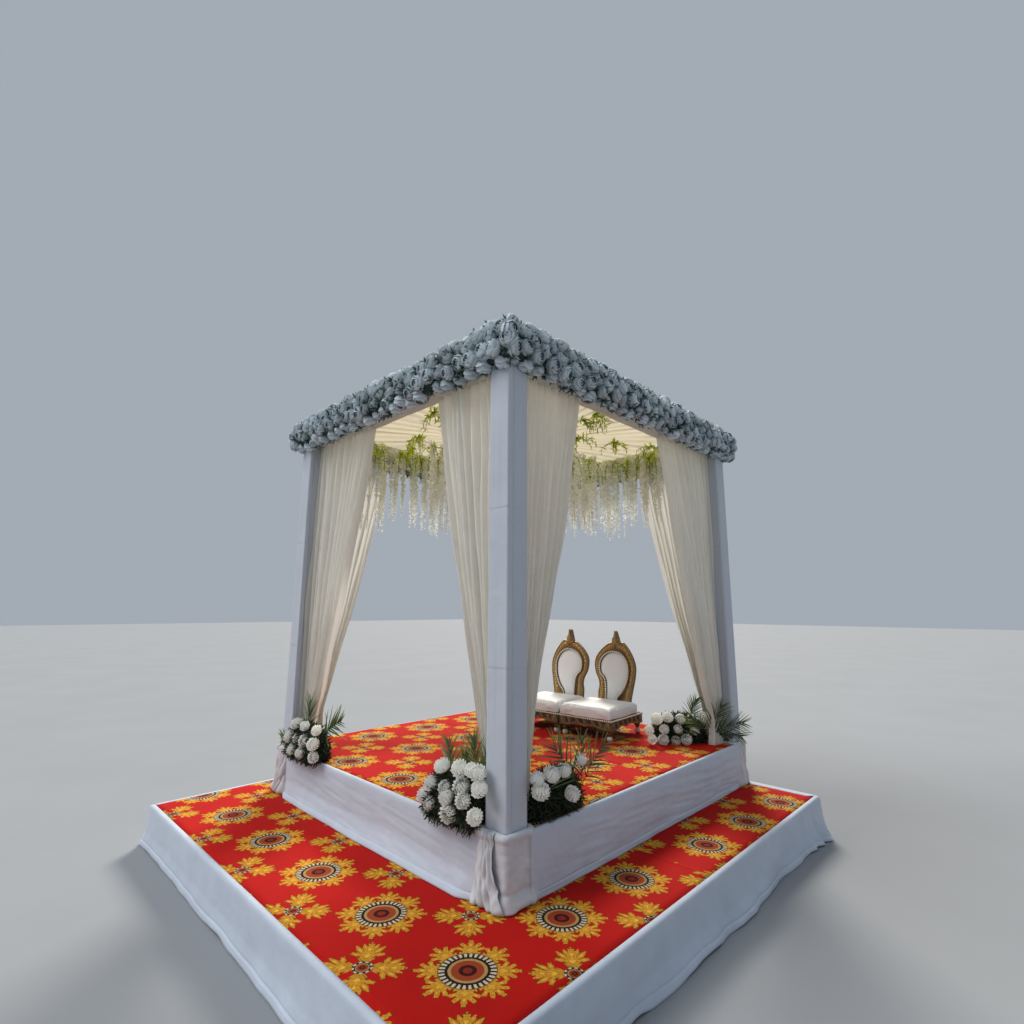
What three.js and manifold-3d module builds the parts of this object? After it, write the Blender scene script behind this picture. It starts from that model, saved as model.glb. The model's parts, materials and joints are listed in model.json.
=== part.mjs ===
// A wedding mandap: a canopy on four cloth-wrapped columns, standing on two low carpeted decks.
// Millimetres, +Z up. The origin is on the ground, midway between the four columns. The entrance side
// that the seats face is the front, at -Y, and the right side is at +X.

import * as THREE from 'three';
import { mergeVertices } from 'three/addons/utils/BufferGeometryUtils.js';
import Module from 'manifold-3d';

const wasm = await Module();
wasm.setup();

// Clearance between pieces that touch
const gap = 0.3;

// Plan: column centres, column and base wrap
const halfBayX = 1150;
const halfBayY = 1270;
const columnSide = 146;
const wrapSide = 206;

// Heights above the ground
const lowerDeckTop = 249;
const upperDeckTop = 560;
const carpetThick = 6;
const lowerFloor = lowerDeckTop + carpetThick;
const upperFloor = upperDeckTop + carpetThick;
const beamUnderside = 2933;
const beamTop = 3085;

// Deck outlines: the lower deck reaches further out on its front and right sides
const lowerDeck = { x0: -1488, x1: 1751, y0: -2119, y1: 1390 };
const upperOverhang = 98;
const upperDeck = {
  x0: -halfBayX - upperOverhang,
  x1: halfBayX + upperOverhang,
  y0: -halfBayY - upperOverhang,
  y1: halfBayY + upperOverhang,
};
const frameLine = { x0: -halfBayX, x1: halfBayX, y0: -halfBayY, y1: halfBayY };

// Cloth skirts: thickness and rounding at the top, where the drop bends outwards as shares of the foot and
// of the height, and for each side how far the foot stands out and how wide the lip on the deck is
const skirtThick = 12;
const skirtRound = 3;
const skirtBend = { out: 0.45, up: 0.3 };
const lowerSkirts = {
  front: { foot: 30, lip: 20 },
  right: { foot: 34, lip: 20 },
  back: { foot: 26, lip: 60 },
  left: { foot: 26, lip: 30 },
};
const upperSkirts = {
  front: { foot: 62, lip: 12 },
  right: { foot: 18, lip: 12 },
  back: { foot: 16, lip: 12 },
  left: { foot: 34, lip: 12 },
};

// Ceiling cloth: its mesh has a line over each beam's two faces and over each row of hanging flowers
const ceilingThick = 8;
const ceilingSag = 40;
const rowLeftX = -990;
const rowMiddleLeftX = -520;
const rowMiddleRightX = 180;
const rowBackY = 1105;
const ceilingLinesX = [
  -1223, -1077, rowLeftX, -760, rowMiddleLeftX, -170, rowMiddleRightX, 480, 780, 1077, 1223,
];
const ceilingLinesY = [-1343, -1197, -900, -600, -300, 0, 300, 600, 860, rowBackY, 1197, 1343];

// Garland: its section outside the beams, as distance out from the column line and height
const garlandSection = [
  [columnSide / 2 + gap, 2888],
  [128, 2882],
  [170, 2940],
  [184, 3040],
  [160, 3140],
  [95, 3196],
  [5, 3190],
  [-46, 3135],
  [-40, beamTop + 2 * gap + ceilingThick],
  [columnSide / 2 + gap, beamTop + 2 * gap + ceilingThick],
];
const garlandStations = 19;
const garlandLump = 9;
const garlandTouch = 1;

// Curtains: how far the free edge stands from the column at each height, from the beam down
const curtainTop = beamUnderside - gap;
const curtainFoot = upperFloor + gap;
const narrowCurtain = [
  [curtainTop, 590, 30],
  [2600, 520, 34],
  [2260, 450, 36],
  [1950, 385, 38],
  [1570, 275, 40],
  [1290, 192, 40],
  [1040, 138, 40],
  [810, 96, 34],
  [700, 112, 38],
  [curtainFoot, 140, 40],
];
const middleCurtain = [
  [curtainTop, 650, 30],
  [2600, 580, 34],
  [2260, 505, 36],
  [1950, 430, 38],
  [1570, 335, 40],
  [1290, 250, 40],
  [1040, 185, 40],
  [810, 118, 34],
  [700, 120, 38],
  [curtainFoot, 145, 40],
];
const wideCurtain = [
  [curtainTop, 790, 30],
  [2600, 700, 34],
  [2350, 640, 36],
  [2100, 568, 38],
  [1800, 492, 40],
  [1500, 405, 40],
  [1200, 318, 40],
  [1000, 250, 38],
  [810, 160, 34],
  [700, 150, 38],
  [curtainFoot, 175, 40],
];
// The two curtains of a corner: along X first, then along Y
const curtainPairs = {
  front_left: [wideCurtain, middleCurtain],
  front_right: [narrowCurtain, narrowCurtain],
  back_right: [middleCurtain, wideCurtain],
  back_left: [narrowCurtain, narrowCurtain],
};
const curtainInset = 30;
const curtainRingPoints = 12;

// Rows of hanging flower bunches, each row on a vine under the ceiling cloth
const flowerRows = {
  flower_row_left: { x: rowLeftX, from: -900, to: 860, count: 7 },
  flower_row_back: { y: rowBackY, from: -760, to: 780, count: 7 },
  flower_row_middle_left: { x: rowMiddleLeftX, from: -600, to: 860, count: 4 },
  flower_row_middle_right: { x: rowMiddleRightX, from: -300, to: 860, count: 4 },
};
const bunchFoot = 2270;
const bunchStep = 36;
const bunchRadius = 55;
const bunchSides = 6;
const bunchLevels = { neck: 0.5, shoulderDrop: 160, waistRise: 200, waist: 0.95, tip: 0.25 };
const vineThick = 12;
const vineDrop = 0.7;

// Bouquets: centre, half length, half depth, height and turn. The mound's profile and the two rings of
// flower heads on it are shares of those.
const bouquetHeadRadius = 52;
const bouquetHeadMinReach = 10;
const moundSides = 14;
const moundProfile = [[0, 0], [0.94, 0], [1, 0.22], [0.82, 0.6], [0.45, 0.86], [0, 0.93]];
const headRings = [
  { count: 7, level: 0.34, spread: 0.72, turn: 0 },
  { count: 4, level: 0.74, spread: 0.4, turn: 0.5 },
];
const bouquets = {
  bouquet_front_left: { x: -770, y: -1360, length: 290, depth: 74, height: 250, turn: 0 },
  bouquet_front_right: { x: 826, y: -1360, length: 235, depth: 74, height: 245, turn: 0 },
  bouquet_right_front: { x: 1236, y: -950, length: 225, depth: 70, height: 225, turn: Math.PI / 2 },
  bouquet_back_right: { x: 868, y: 985, length: 245, depth: 130, height: 220, turn: Math.PI / 4 },
  bouquet_back_left: { x: -872, y: 1000, length: 240, depth: 130, height: 260, turn: -Math.PI / 4 },
};

// Seats
const seatTurn = THREE.MathUtils.degToRad(4);
const seatPlaces = {
  left: { x: -245, y: 719, mirror: -1 },
  right: { x: 276, y: 755, mirror: 1 },
};
const seatWidth = 500;
const seatDepth = 530;
const seatRailTop = 165;
const seatRailBottom = 84;
const railThick = 40;
const seatBoardThick = 24;
const seatWellDepth = 90;
const cushionThick = 92;
const cushionDepth = 482;
const cushionOverhang = 8;
const cushionCorner = 46;
const cushionBevel = 22;
const padBevel = 8;
const backFront = 221;
const backThick = 44;
const backRake = THREE.MathUtils.degToRad(6);
const backPivot = 120;
const legInset = 34;
const legSides = 8;
const legTenon = 6;
const apronWave = { half: 150, quarter: 75, start: -20, crown: 30, middle: 4, reach: 300 };

// The seat back's carved surround, for the seat on the right: a comma whose tail lies on the inner side
const surroundOutline = [
  [-150, 120], [-172, 200], [-176, 290], [-166, 350], [-176, 405], [-207, 465], [-221, 540], [-208, 605],
  [-158, 672], [-92, 724], [-50, 744], [-32, 796], [-13, 846], [10, 796], [30, 746], [70, 738], [122, 680],
  [166, 605], [188, 530], [184, 440], [165, 340], [148, 240], [140, 120],
];
const padOutline = [
  [-78, 200], [-86, 300], [-92, 385], [-112, 432], [-146, 464], [-158, 520], [-146, 578], [-100, 628],
  [-34, 652], [40, 642], [94, 598], [122, 536], [124, 466], [110, 396], [76, 326], [30, 270], [10, 200],
];

const surroundSteps = 46;
const padSteps = 32;
const curveTension = 0.5;

const colours = {
  board: 0x8a6f4e,
  carpet: 0xb01c14,
  skirt: 0xd9deec,
  wrap: 0xd5d8de,
  column: 0xdadde4,
  beam: 0xd8ccb8,
  ceiling: 0xefe4d2,
  curtain: 0xeee9da,
  garland: 0x9db3b8,
  bouquet: 0xe9efe4,
  hanging: 0xdfe3c8,
  gilt: 0x9a6f2c,
  leather: 0xf0eee8,
};

function finish(colour, roughness, metalness = 0) {
  return new THREE.MeshStandardMaterial({ color: colour, roughness, metalness });
}

const materials = {
  board: finish(colours.board, 0.8),
  carpet: finish(colours.carpet, 0.95),
  skirt: finish(colours.skirt, 0.85),
  wrap: finish(colours.wrap, 0.85),
  column: finish(colours.column, 0.8),
  beam: finish(colours.beam, 0.85),
  ceiling: finish(colours.ceiling, 0.6),
  curtain: finish(colours.curtain, 0.8),
  garland: finish(colours.garland, 0.9),
  bouquet: finish(colours.bouquet, 0.9),
  hanging: finish(colours.hanging, 0.9),
  gilt: finish(colours.gilt, 0.45, 0.6),
  leather: finish(colours.leather, 0.4),
};

const mandap = new THREE.Group();

function addPiece(name, geometry, material) {
  const mesh = new THREE.Mesh(geometry, material);
  mesh.name = name;
  mandap.add(mesh);
  return mesh;
}

// Only positions, with shared vertices merged and flat triangles dropped
function bare(geometry) {
  const copy = geometry.clone();
  copy.deleteAttribute('normal');
  copy.deleteAttribute('uv');
  const merged = mergeVertices(copy, 1e-3);
  const index = merged.getIndex().array;
  const kept = [];
  for (let i = 0; i < index.length; i += 3) {
    const [a, b, c] = [index[i], index[i + 1], index[i + 2]];
    if (a !== b && b !== c && c !== a) {
      kept.push(a, b, c);
    }
  }
  merged.setIndex(kept);
  return merged;
}

function toManifold(geometry) {
  const clean = bare(geometry);
  return new wasm.Manifold(new wasm.Mesh({
    numProp: 3,
    vertProperties: new Float32Array(clean.getAttribute('position').array),
    triVerts: new Uint32Array(clean.getIndex().array),
  }));
}

function fromManifold(solid) {
  const mesh = solid.getMesh();
  const geometry = new THREE.BufferGeometry();
  geometry.setAttribute('position', new THREE.BufferAttribute(new Float32Array(mesh.vertProperties), 3));
  geometry.setIndex([...mesh.triVerts]);
  geometry.computeVertexNormals();
  return geometry;
}

function joined(geometries) {
  return fromManifold(geometries.map(toManifold).reduce((sum, next) => sum.add(next)));
}

function signedVolume(positions, index) {
  const corner = (i) => new THREE.Vector3().fromArray(positions, 3 * index[i]);
  let total = 0;
  for (let i = 0; i < index.length; i += 3) {
    total += corner(i).dot(corner(i + 1).cross(corner(i + 2)));
  }
  return total;
}

// A closed body from rings of points, each ring the same outline moved, scaled or sheared
function bodyFromRings(rings, outline) {
  const size = outline.length;
  const positions = rings.flat().flatMap((point) => point.toArray());
  const index = [];
  for (let ring = 0; ring + 1 < rings.length; ring += 1) {
    for (let i = 0; i < size; i += 1) {
      const [a, b] = [ring * size + i, ring * size + (i + 1) % size];
      index.push(a, b, b + size, a, b + size, a + size);
    }
  }
  const last = (rings.length - 1) * size;
  for (const [a, b, c] of THREE.ShapeUtils.triangulateShape(outline, [])) {
    index.push(c, b, a, last + a, last + b, last + c);
  }
  if (signedVolume(positions, index) < 0) {
    index.reverse();
  }
  const geometry = new THREE.BufferGeometry();
  geometry.setAttribute('position', new THREE.Float32BufferAttribute(positions, 3));
  geometry.setIndex(index);
  geometry.computeVertexNormals();
  return geometry;
}

const sides = {
  front: { out: [0, -1], along: [1, 0] },
  right: { out: [1, 0], along: [0, 1] },
  back: { out: [0, 1], along: [-1, 0] },
  left: { out: [-1, 0], along: [0, -1] },
};

// Whether a point of the garland's section is clear of the beam and of the ceiling cloth
function isClear(point) {
  return point.x > columnSide / 2 + garlandTouch || point.y > beamTop + ceilingThick + garlandTouch;
}

// A strip along one side of a rectangle. Its section is given as distance out from that side and height.
// Mitred ends meet the neighbouring strips on the corner's diagonal, and every other station may swell.
function edgeStrip(side, plan, section, { mitred = true, shorten = gap, stations = 2, lump = 0 } = {}) {
  const { out, along } = sides[side];
  const centre = [(plan.x0 + plan.x1) / 2, (plan.y0 + plan.y1) / 2];
  const [halfX, halfY] = [(plan.x1 - plan.x0) / 2, (plan.y1 - plan.y0) / 2];
  const halfAcross = out[0] === 0 ? halfY : halfX;
  const halfAlong = out[0] === 0 ? halfX : halfY;
  const outline = section.map(([u, z]) => new THREE.Vector2(u, z));
  if (THREE.ShapeUtils.area(outline) < 0) {
    outline.reverse();
  }
  const total = outline.reduce((sum, point) => sum.add(point), new THREE.Vector2());
  const middle = total.divideScalar(outline.length);
  const rings = [];
  for (let step = 0; step < stations; step += 1) {
    const share = step / (stations - 1);
    const inner = step > 0 && step < stations - 1;
    const swell = inner && step % 2 === 1 ? lump : 0;
    rings.push(outline.map((point) => {
      const away = point.clone().sub(middle).setLength(isClear(point) ? swell : 0);
      const u = point.x + away.x;
      const end = halfAlong - shorten + (mitred ? point.x : 0);
      const t = end * (2 * share - 1);
      const reach = halfAcross + u;
      return new THREE.Vector3(
        centre[0] + out[0] * reach + along[0] * t,
        centre[1] + out[1] * reach + along[1] * t,
        point.y + away.y,
      );
    }));
  }
  return bodyFromRings(rings, outline);
}

function slab(shape, bottom, top) {
  const geometry = new THREE.ExtrudeGeometry(shape, { depth: top - bottom, bevelEnabled: false });
  geometry.translate(0, 0, bottom);
  return geometry;
}

function rectangle(plan, inset = 0) {
  const shape = new THREE.Shape();
  shape.moveTo(plan.x0 + inset, plan.y0 + inset);
  shape.lineTo(plan.x1 - inset, plan.y0 + inset);
  shape.lineTo(plan.x1 - inset, plan.y1 - inset);
  shape.lineTo(plan.x0 + inset, plan.y1 - inset);
  return shape;
}

// The upper deck's outline, with a square notch at each corner for the column's base wrap
function notchedRectangle(plan, inset) {
  const notchX = halfBayX - wrapSide / 2 - gap;
  const notchY = halfBayY - wrapSide / 2 - gap;
  const [x, y] = [plan.x1 - inset, plan.y1 - inset];
  const quarter = [[x, notchY], [notchX, notchY], [notchX, y]];
  const mirrored = [
    ...quarter,
    ...quarter.map(([a, b]) => [-a, b]).reverse(),
    ...quarter.map(([a, b]) => [-a, -b]),
    ...quarter.map(([a, b]) => [a, -b]).reverse(),
  ];
  return new THREE.Shape(mirrored.map(([a, b]) => new THREE.Vector2(a, b)));
}

function makeDecks() {
  addPiece('lower_deck', slab(rectangle(lowerDeck), 0, lowerDeckTop), materials.board);
  const lips = {};
  for (const [side, skirt] of Object.entries(lowerSkirts)) {
    lips[side] = skirt.lip + gap;
  }
  const carpet = {
    x0: lowerDeck.x0 + lips.left,
    x1: lowerDeck.x1 - lips.right,
    y0: lowerDeck.y0 + lips.front,
    y1: lowerDeck.y1 - lips.back,
  };
  addPiece('lower_carpet', slab(rectangle(carpet), lowerDeckTop + gap, lowerFloor), materials.carpet);
  const upperBlock = slab(notchedRectangle(upperDeck, 0), lowerFloor + gap, upperDeckTop);
  addPiece('upper_deck', upperBlock, materials.board);
  const upperLip = upperSkirts.front.lip + gap;
  const upperCarpet = slab(notchedRectangle(upperDeck, upperLip), upperDeckTop + gap, upperFloor);
  addPiece('upper_carpet', upperCarpet, materials.carpet);
}

function skirtSection({ foot, lip }, bottom, deckTop) {
  const top = deckTop + carpetThick;
  return [
    [-lip, deckTop + gap],
    [gap, deckTop + gap],
    [gap, bottom],
    [foot, bottom],
    [foot * skirtBend.out, bottom + (top - bottom) * skirtBend.up],
    [skirtThick, top - 2 * carpetThick],
    [skirtThick - skirtRound, top],
    [-lip, top],
  ];
}

function makeSkirts() {
  for (const [side, skirt] of Object.entries(lowerSkirts)) {
    const section = skirtSection(skirt, 0, lowerDeckTop);
    addPiece(`lower_skirt_${side}`, edgeStrip(side, lowerDeck, section), materials.skirt);
  }
  const fromCorner = upperOverhang + wrapSide / 2 + 2 * gap;
  for (const [side, skirt] of Object.entries(upperSkirts)) {
    const section = skirtSection(skirt, lowerFloor + gap, upperDeckTop);
    const strip = edgeStrip(side, upperDeck, section, { mitred: false, shorten: fromCorner });
    addPiece(`upper_skirt_${side}`, strip, materials.skirt);
  }
}

const corners = {
  front_left: [-1, -1],
  front_right: [1, -1],
  back_right: [1, 1],
  back_left: [-1, 1],
};

function square(side) {
  const half = side / 2;
  return rectangle({ x0: -half, x1: half, y0: -half, y1: half });
}

function makeColumns() {
  for (const [corner, [signX, signY]] of Object.entries(corners)) {
    const place = new THREE.Vector3(signX * halfBayX, signY * halfBayY, 0);
    const column = slab(square(columnSide), lowerFloor + gap, beamUnderside - gap);
    addPiece(`column_${corner}`, column, materials.column).position.copy(place);
    const ring = square(wrapSide);
    ring.holes.push(square(columnSide + 2 * gap));
    const wrap = slab(ring, lowerFloor + gap, upperFloor);
    addPiece(`base_wrap_${corner}`, wrap, materials.wrap).position.copy(place);
  }
}

function makeBeams() {
  const half = columnSide / 2;
  const section = [[-half, beamUnderside], [half, beamUnderside], [half, beamTop], [-half, beamTop]];
  for (const side of Object.keys(sides)) {
    addPiece(`beam_${side}`, edgeStrip(side, frameLine, section), materials.beam);
    const lumps = { stations: garlandStations, lump: garlandLump };
    const garland = edgeStrip(side, frameLine, garlandSection, lumps);
    addPiece(`garland_${side}`, garland, materials.garland);
  }
}

// Height of the ceiling cloth's underside, flat on the beams and hollow between them
function ceilingUnderside(x, y) {
  const [halfX, halfY] = [halfBayX - columnSide / 2, halfBayY - columnSide / 2];
  const dip = (v, half) => (Math.abs(v) < half ? Math.cos(Math.PI * v / 2 / half) : 0);
  return beamTop + gap - ceilingSag * dip(x, halfX) * dip(y, halfY);
}

function makeCeiling() {
  const [columns, rows] = [ceilingLinesX.length, ceilingLinesY.length];
  const positions = [];
  for (const lift of [0, ceilingThick]) {
    for (const y of ceilingLinesY) {
      for (const x of ceilingLinesX) {
        positions.push(x, y, ceilingUnderside(x, y) + lift);
      }
    }
  }
  const layer = columns * rows;
  const index = [];
  for (let j = 0; j + 1 < rows; j += 1) {
    for (let i = 0; i + 1 < columns; i += 1) {
      const [a, b] = [j * columns + i, j * columns + i + 1];
      const [c, d] = [b + columns, a + columns];
      index.push(a, c, b, a, d, c);
      index.push(layer + a, layer + b, layer + c, layer + a, layer + c, layer + d);
    }
  }
  const rim = [];
  for (let i = 0; i < columns - 1; i += 1) rim.push(i);
  for (let j = 0; j < rows - 1; j += 1) rim.push(j * columns + columns - 1);
  for (let i = columns - 1; i > 0; i -= 1) rim.push((rows - 1) * columns + i);
  for (let j = rows - 1; j > 0; j -= 1) rim.push(j * columns);
  rim.forEach((a, step) => {
    const b = rim[(step + 1) % rim.length];
    index.push(a, b, layer + b, a, layer + b, layer + a);
  });
  const geometry = new THREE.BufferGeometry();
  geometry.setAttribute('position', new THREE.Float32BufferAttribute(positions, 3));
  geometry.setIndex(index);
  geometry.computeVertexNormals();
  addPiece('ceiling_cloth', geometry, materials.ceiling);
}

// One curtain beside a column: it runs from the column's face along one side of the frame
function curtainBody(corner, alongX, profile) {
  const [signX, signY] = corner;
  const outline = [];
  for (let i = 0; i < curtainRingPoints; i += 1) {
    const angle = 2 * Math.PI * i / curtainRingPoints;
    outline.push(new THREE.Vector2(Math.cos(angle), Math.sin(angle)));
  }
  const near = columnSide / 2 + gap;
  const rings = profile.map(([z, reach, halfDepth]) => outline.map((unit) => {
    const along = near + reach * (1 + unit.x) / 2;
    const across = curtainInset + halfDepth * unit.y;
    const [stepX, stepY] = alongX ? [along, across] : [across, along];
    return new THREE.Vector3(signX * (halfBayX - stepX), signY * (halfBayY - stepY), z);
  }));
  return bodyFromRings(rings, outline);
}

function makeCurtains() {
  for (const [name, corner] of Object.entries(corners)) {
    const [profileX, profileY] = curtainPairs[name];
    const [sideAlongX, sideAlongY] = name.split('_');
    addPiece(`curtain_${name}`, curtainBody(corner, true, profileX), materials.curtain);
    addPiece(`curtain_${sideAlongY}_${sideAlongX}`, curtainBody(corner, false, profileY), materials.curtain);
  }
}

// A place on a row of hanging flowers, which runs along X at its own y or along Y at its own x
function placeOnRow(row, along) {
  return row.y === undefined ? [row.x, along] : [along, row.y];
}

// A vine just under the ceiling cloth, following its sag from line to line of the cloth's mesh
function vineBody(row) {
  const lines = row.y === undefined ? ceilingLinesY : ceilingLinesX;
  const outline = [[-1, 0], [1, 0], [1, 1], [-1, 1]].map(([u, v]) => new THREE.Vector2(u, v));
  const rings = lines.filter((line) => line >= row.from && line <= row.to).map((line) => {
    const [x, y] = placeOnRow(row, line);
    const top = ceilingUnderside(x, y) - vineDrop;
    return outline.map((unit) => {
      const aside = unit.x * vineThick / 2;
      const [offX, offY] = row.y === undefined ? [aside, 0] : [0, aside];
      return new THREE.Vector3(x + offX, y + offY, top - vineThick * unit.y);
    });
  });
  return bodyFromRings(rings, outline);
}

function bunchBody(x, y, foot) {
  const outline = [];
  for (let i = 0; i < bunchSides; i += 1) {
    const angle = 2 * Math.PI * i / bunchSides;
    outline.push(new THREE.Vector2(Math.cos(angle), Math.sin(angle)));
  }
  const top = ceilingUnderside(x, y) - vineDrop - vineThick / 2;
  const { neck, shoulderDrop, waistRise, waist, tip } = bunchLevels;
  const levels = [[top, neck], [top - shoulderDrop, 1], [foot + waistRise, waist], [foot, tip]];
  const rings = levels.map(([z, scale]) => outline.map((unit) => {
    return new THREE.Vector3(x + unit.x * bunchRadius * scale, y + unit.y * bunchRadius * scale, z);
  }));
  return bodyFromRings(rings, outline);
}

function makeFlowerRows() {
  for (const [name, row] of Object.entries(flowerRows)) {
    const bodies = [vineBody(row)];
    for (let i = 0; i < row.count; i += 1) {
      const along = row.from + (row.to - row.from) * (i + 0.5) / row.count;
      const [x, y] = placeOnRow(row, along);
      bodies.push(bunchBody(x, y, bunchFoot + bunchStep * (i * 3 % 4)));
    }
    addPiece(name, joined(bodies), materials.hanging);
  }
}

// A low mound of leaves with round flower heads over it, flat where it stands on the carpet
function makeBouquets() {
  for (const [name, { x, y, length, depth, height, turn }] of Object.entries(bouquets)) {
    const mound = new THREE.LatheGeometry(moundProfile.map(([r, z]) => new THREE.Vector2(r, z)), moundSides);
    mound.rotateX(Math.PI / 2);
    mound.scale(length, depth, height);
    const heads = [];
    for (const ring of headRings) {
      const reachX = length * ring.spread;
      const reachY = Math.max(depth * ring.spread - bouquetHeadRadius / 2, bouquetHeadMinReach);
      for (let i = 0; i < ring.count; i += 1) {
        const angle = 2 * Math.PI * (i + ring.turn) / ring.count;
        const head = new THREE.IcosahedronGeometry(bouquetHeadRadius, 0);
        head.translate(reachX * Math.cos(angle), reachY * Math.sin(angle), height * ring.level);
        heads.push(head);
      }
    }
    const bouquet = joined([mound, ...heads]);
    bouquet.rotateZ(turn);
    bouquet.translate(x, y, upperFloor + gap);
    addPiece(name, bouquet, materials.bouquet);
  }
}

function smoothShape(points, mirror, steps) {
  const anchors = points.map(([x, z]) => new THREE.Vector3(mirror * x, z, 0));
  const curve = new THREE.CatmullRomCurve3(anchors, true, 'catmullrom', curveTension);
  const outline = curve.getPoints(steps).slice(0, -1).map((point) => new THREE.Vector2(point.x, point.y));
  return new THREE.Shape(THREE.ShapeUtils.isClockWise(outline) ? outline.reverse() : outline);
}

// Stands a flat outline up on the rear rail and leans it back
function stoodUp(geometry) {
  geometry.rotateX(Math.PI / 2);
  geometry.translate(0, 0, -backPivot);
  geometry.rotateX(-backRake);
  geometry.translate(0, backFront + backThick, backPivot);
  return geometry;
}

function turnedLeg() {
  const profile = [
    [0, 0], [14, 3], [21, 16], [21, 26], [14, 40], [11, 48], [20, 60], [23, 78],
    [21, seatRailBottom + legTenon], [0, seatRailBottom + legTenon],
  ];
  const leg = new THREE.LatheGeometry(profile.map(([r, z]) => new THREE.Vector2(r, z)), legSides);
  leg.rotateX(Math.PI / 2);
  return leg;
}

// The rail frame round the seat, with a wavy carved lower edge on its front and sides
function railFrame() {
  const [halfW, halfD] = [seatWidth / 2, seatDepth / 2];
  const outer = rectangle({ x0: -halfW, x1: halfW, y0: -halfD, y1: halfD });
  const rails = slab(outer, seatRailBottom, seatRailTop);
  const well = new THREE.BoxGeometry(seatWidth - 2 * railThick, seatDepth - 2 * railThick, seatWellDepth);
  well.translate(0, 0, seatRailTop - seatBoardThick - seatWellDepth / 2);
  const { half, quarter, start, crown, middle, reach } = apronWave;
  const archShape = new THREE.Shape();
  archShape.moveTo(-half, seatRailBottom + start);
  archShape.quadraticCurveTo(-quarter, seatRailBottom + crown, 0, seatRailBottom + middle);
  archShape.quadraticCurveTo(quarter, seatRailBottom + crown, half, seatRailBottom + start);
  const cutLength = { depth: 2 * reach, bevelEnabled: false, curveSegments: 5 };
  const arch = new THREE.ExtrudeGeometry(archShape, cutLength);
  arch.translate(0, 0, -reach);
  arch.rotateX(Math.PI / 2);
  const sideArch = arch.clone().rotateZ(Math.PI / 2);
  return [well, arch, sideArch].reduce((sum, cut) => sum.subtract(toManifold(cut)), toManifold(rails));
}

function seatFrame(mirror) {
  const surround = smoothShape(surroundOutline, mirror, surroundSteps);
  surround.holes.push(smoothShape(padOutline, mirror, padSteps));
  const back = new THREE.ExtrudeGeometry(surround, { depth: backThick, bevelEnabled: false });
  let solid = railFrame().add(toManifold(stoodUp(back)));
  for (const signX of [-1, 1]) {
    for (const signY of [-1, 1]) {
      const leg = turnedLeg();
      leg.translate(signX * (seatWidth / 2 - legInset), signY * (seatDepth / 2 - legInset), 0);
      solid = solid.add(toManifold(leg));
    }
  }
  return fromManifold(solid);
}

function seatCushion() {
  const [x, y] = [seatWidth / 2 - cushionBevel, cushionDepth / 2 - cushionBevel];
  const shape = new THREE.Shape();
  shape.moveTo(-x + cushionCorner, -y);
  shape.lineTo(x - cushionCorner, -y);
  shape.quadraticCurveTo(x, -y, x, -y + cushionCorner);
  shape.lineTo(x, y);
  shape.lineTo(-x, y);
  shape.lineTo(-x, -y + cushionCorner);
  shape.quadraticCurveTo(-x, -y, -x + cushionCorner, -y);
  const cushion = new THREE.ExtrudeGeometry(shape, {
    depth: cushionThick - 2 * cushionBevel,
    bevelThickness: cushionBevel,
    bevelSize: cushionBevel,
    bevelSegments: 2,
    curveSegments: 4,
  });
  const middleY = (cushionDepth - seatDepth) / 2 - cushionOverhang;
  cushion.translate(0, middleY, seatRailTop + gap + cushionBevel);
  return cushion;
}

function seatBackPad(mirror) {
  const shape = smoothShape(padOutline, mirror, padSteps);
  const pad = new THREE.ExtrudeGeometry(shape, {
    depth: backThick - 2 * padBevel,
    bevelThickness: padBevel,
    bevelSize: padBevel,
    bevelOffset: -padBevel - gap,
    bevelSegments: 1,
  });
  pad.translate(0, 0, padBevel);
  return stoodUp(pad);
}

function makeSeats() {
  for (const [side, { x, y, mirror }] of Object.entries(seatPlaces)) {
    const seat = new THREE.Group();
    seat.position.set(x, y, upperFloor + gap);
    seat.rotation.z = seatTurn;
    mandap.add(seat);
    const parts = {
      seat_frame: [seatFrame(mirror), materials.gilt],
      seat_cushion: [seatCushion(), materials.leather],
      seat_back_pad: [seatBackPad(mirror), materials.leather],
    };
    for (const [part, [geometry, material]] of Object.entries(parts)) {
      seat.add(addPiece(`${part}_${side}`, geometry, material));
    }
  }
}

makeDecks();
makeSkirts();
makeColumns();
makeBeams();
makeCeiling();
makeCurtains();
makeFlowerRows();
makeBouquets();
makeSeats();

export default mandap;
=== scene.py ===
"""A wedding mandap: a flower-trimmed canopy on four cloth-wrapped columns over two carpeted decks.

An add-on that is run as a script. Lengths are metres and colours are sRGB hex values.
"""

import json
from functools import partial
from math import cos, pi, radians, sin

import bpy
import numpy as np
from bpy.props import FloatProperty, FloatVectorProperty, IntProperty, PointerProperty
from bpy.types import Operator, Panel, PropertyGroup
from mathutils import Matrix, Vector

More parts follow.
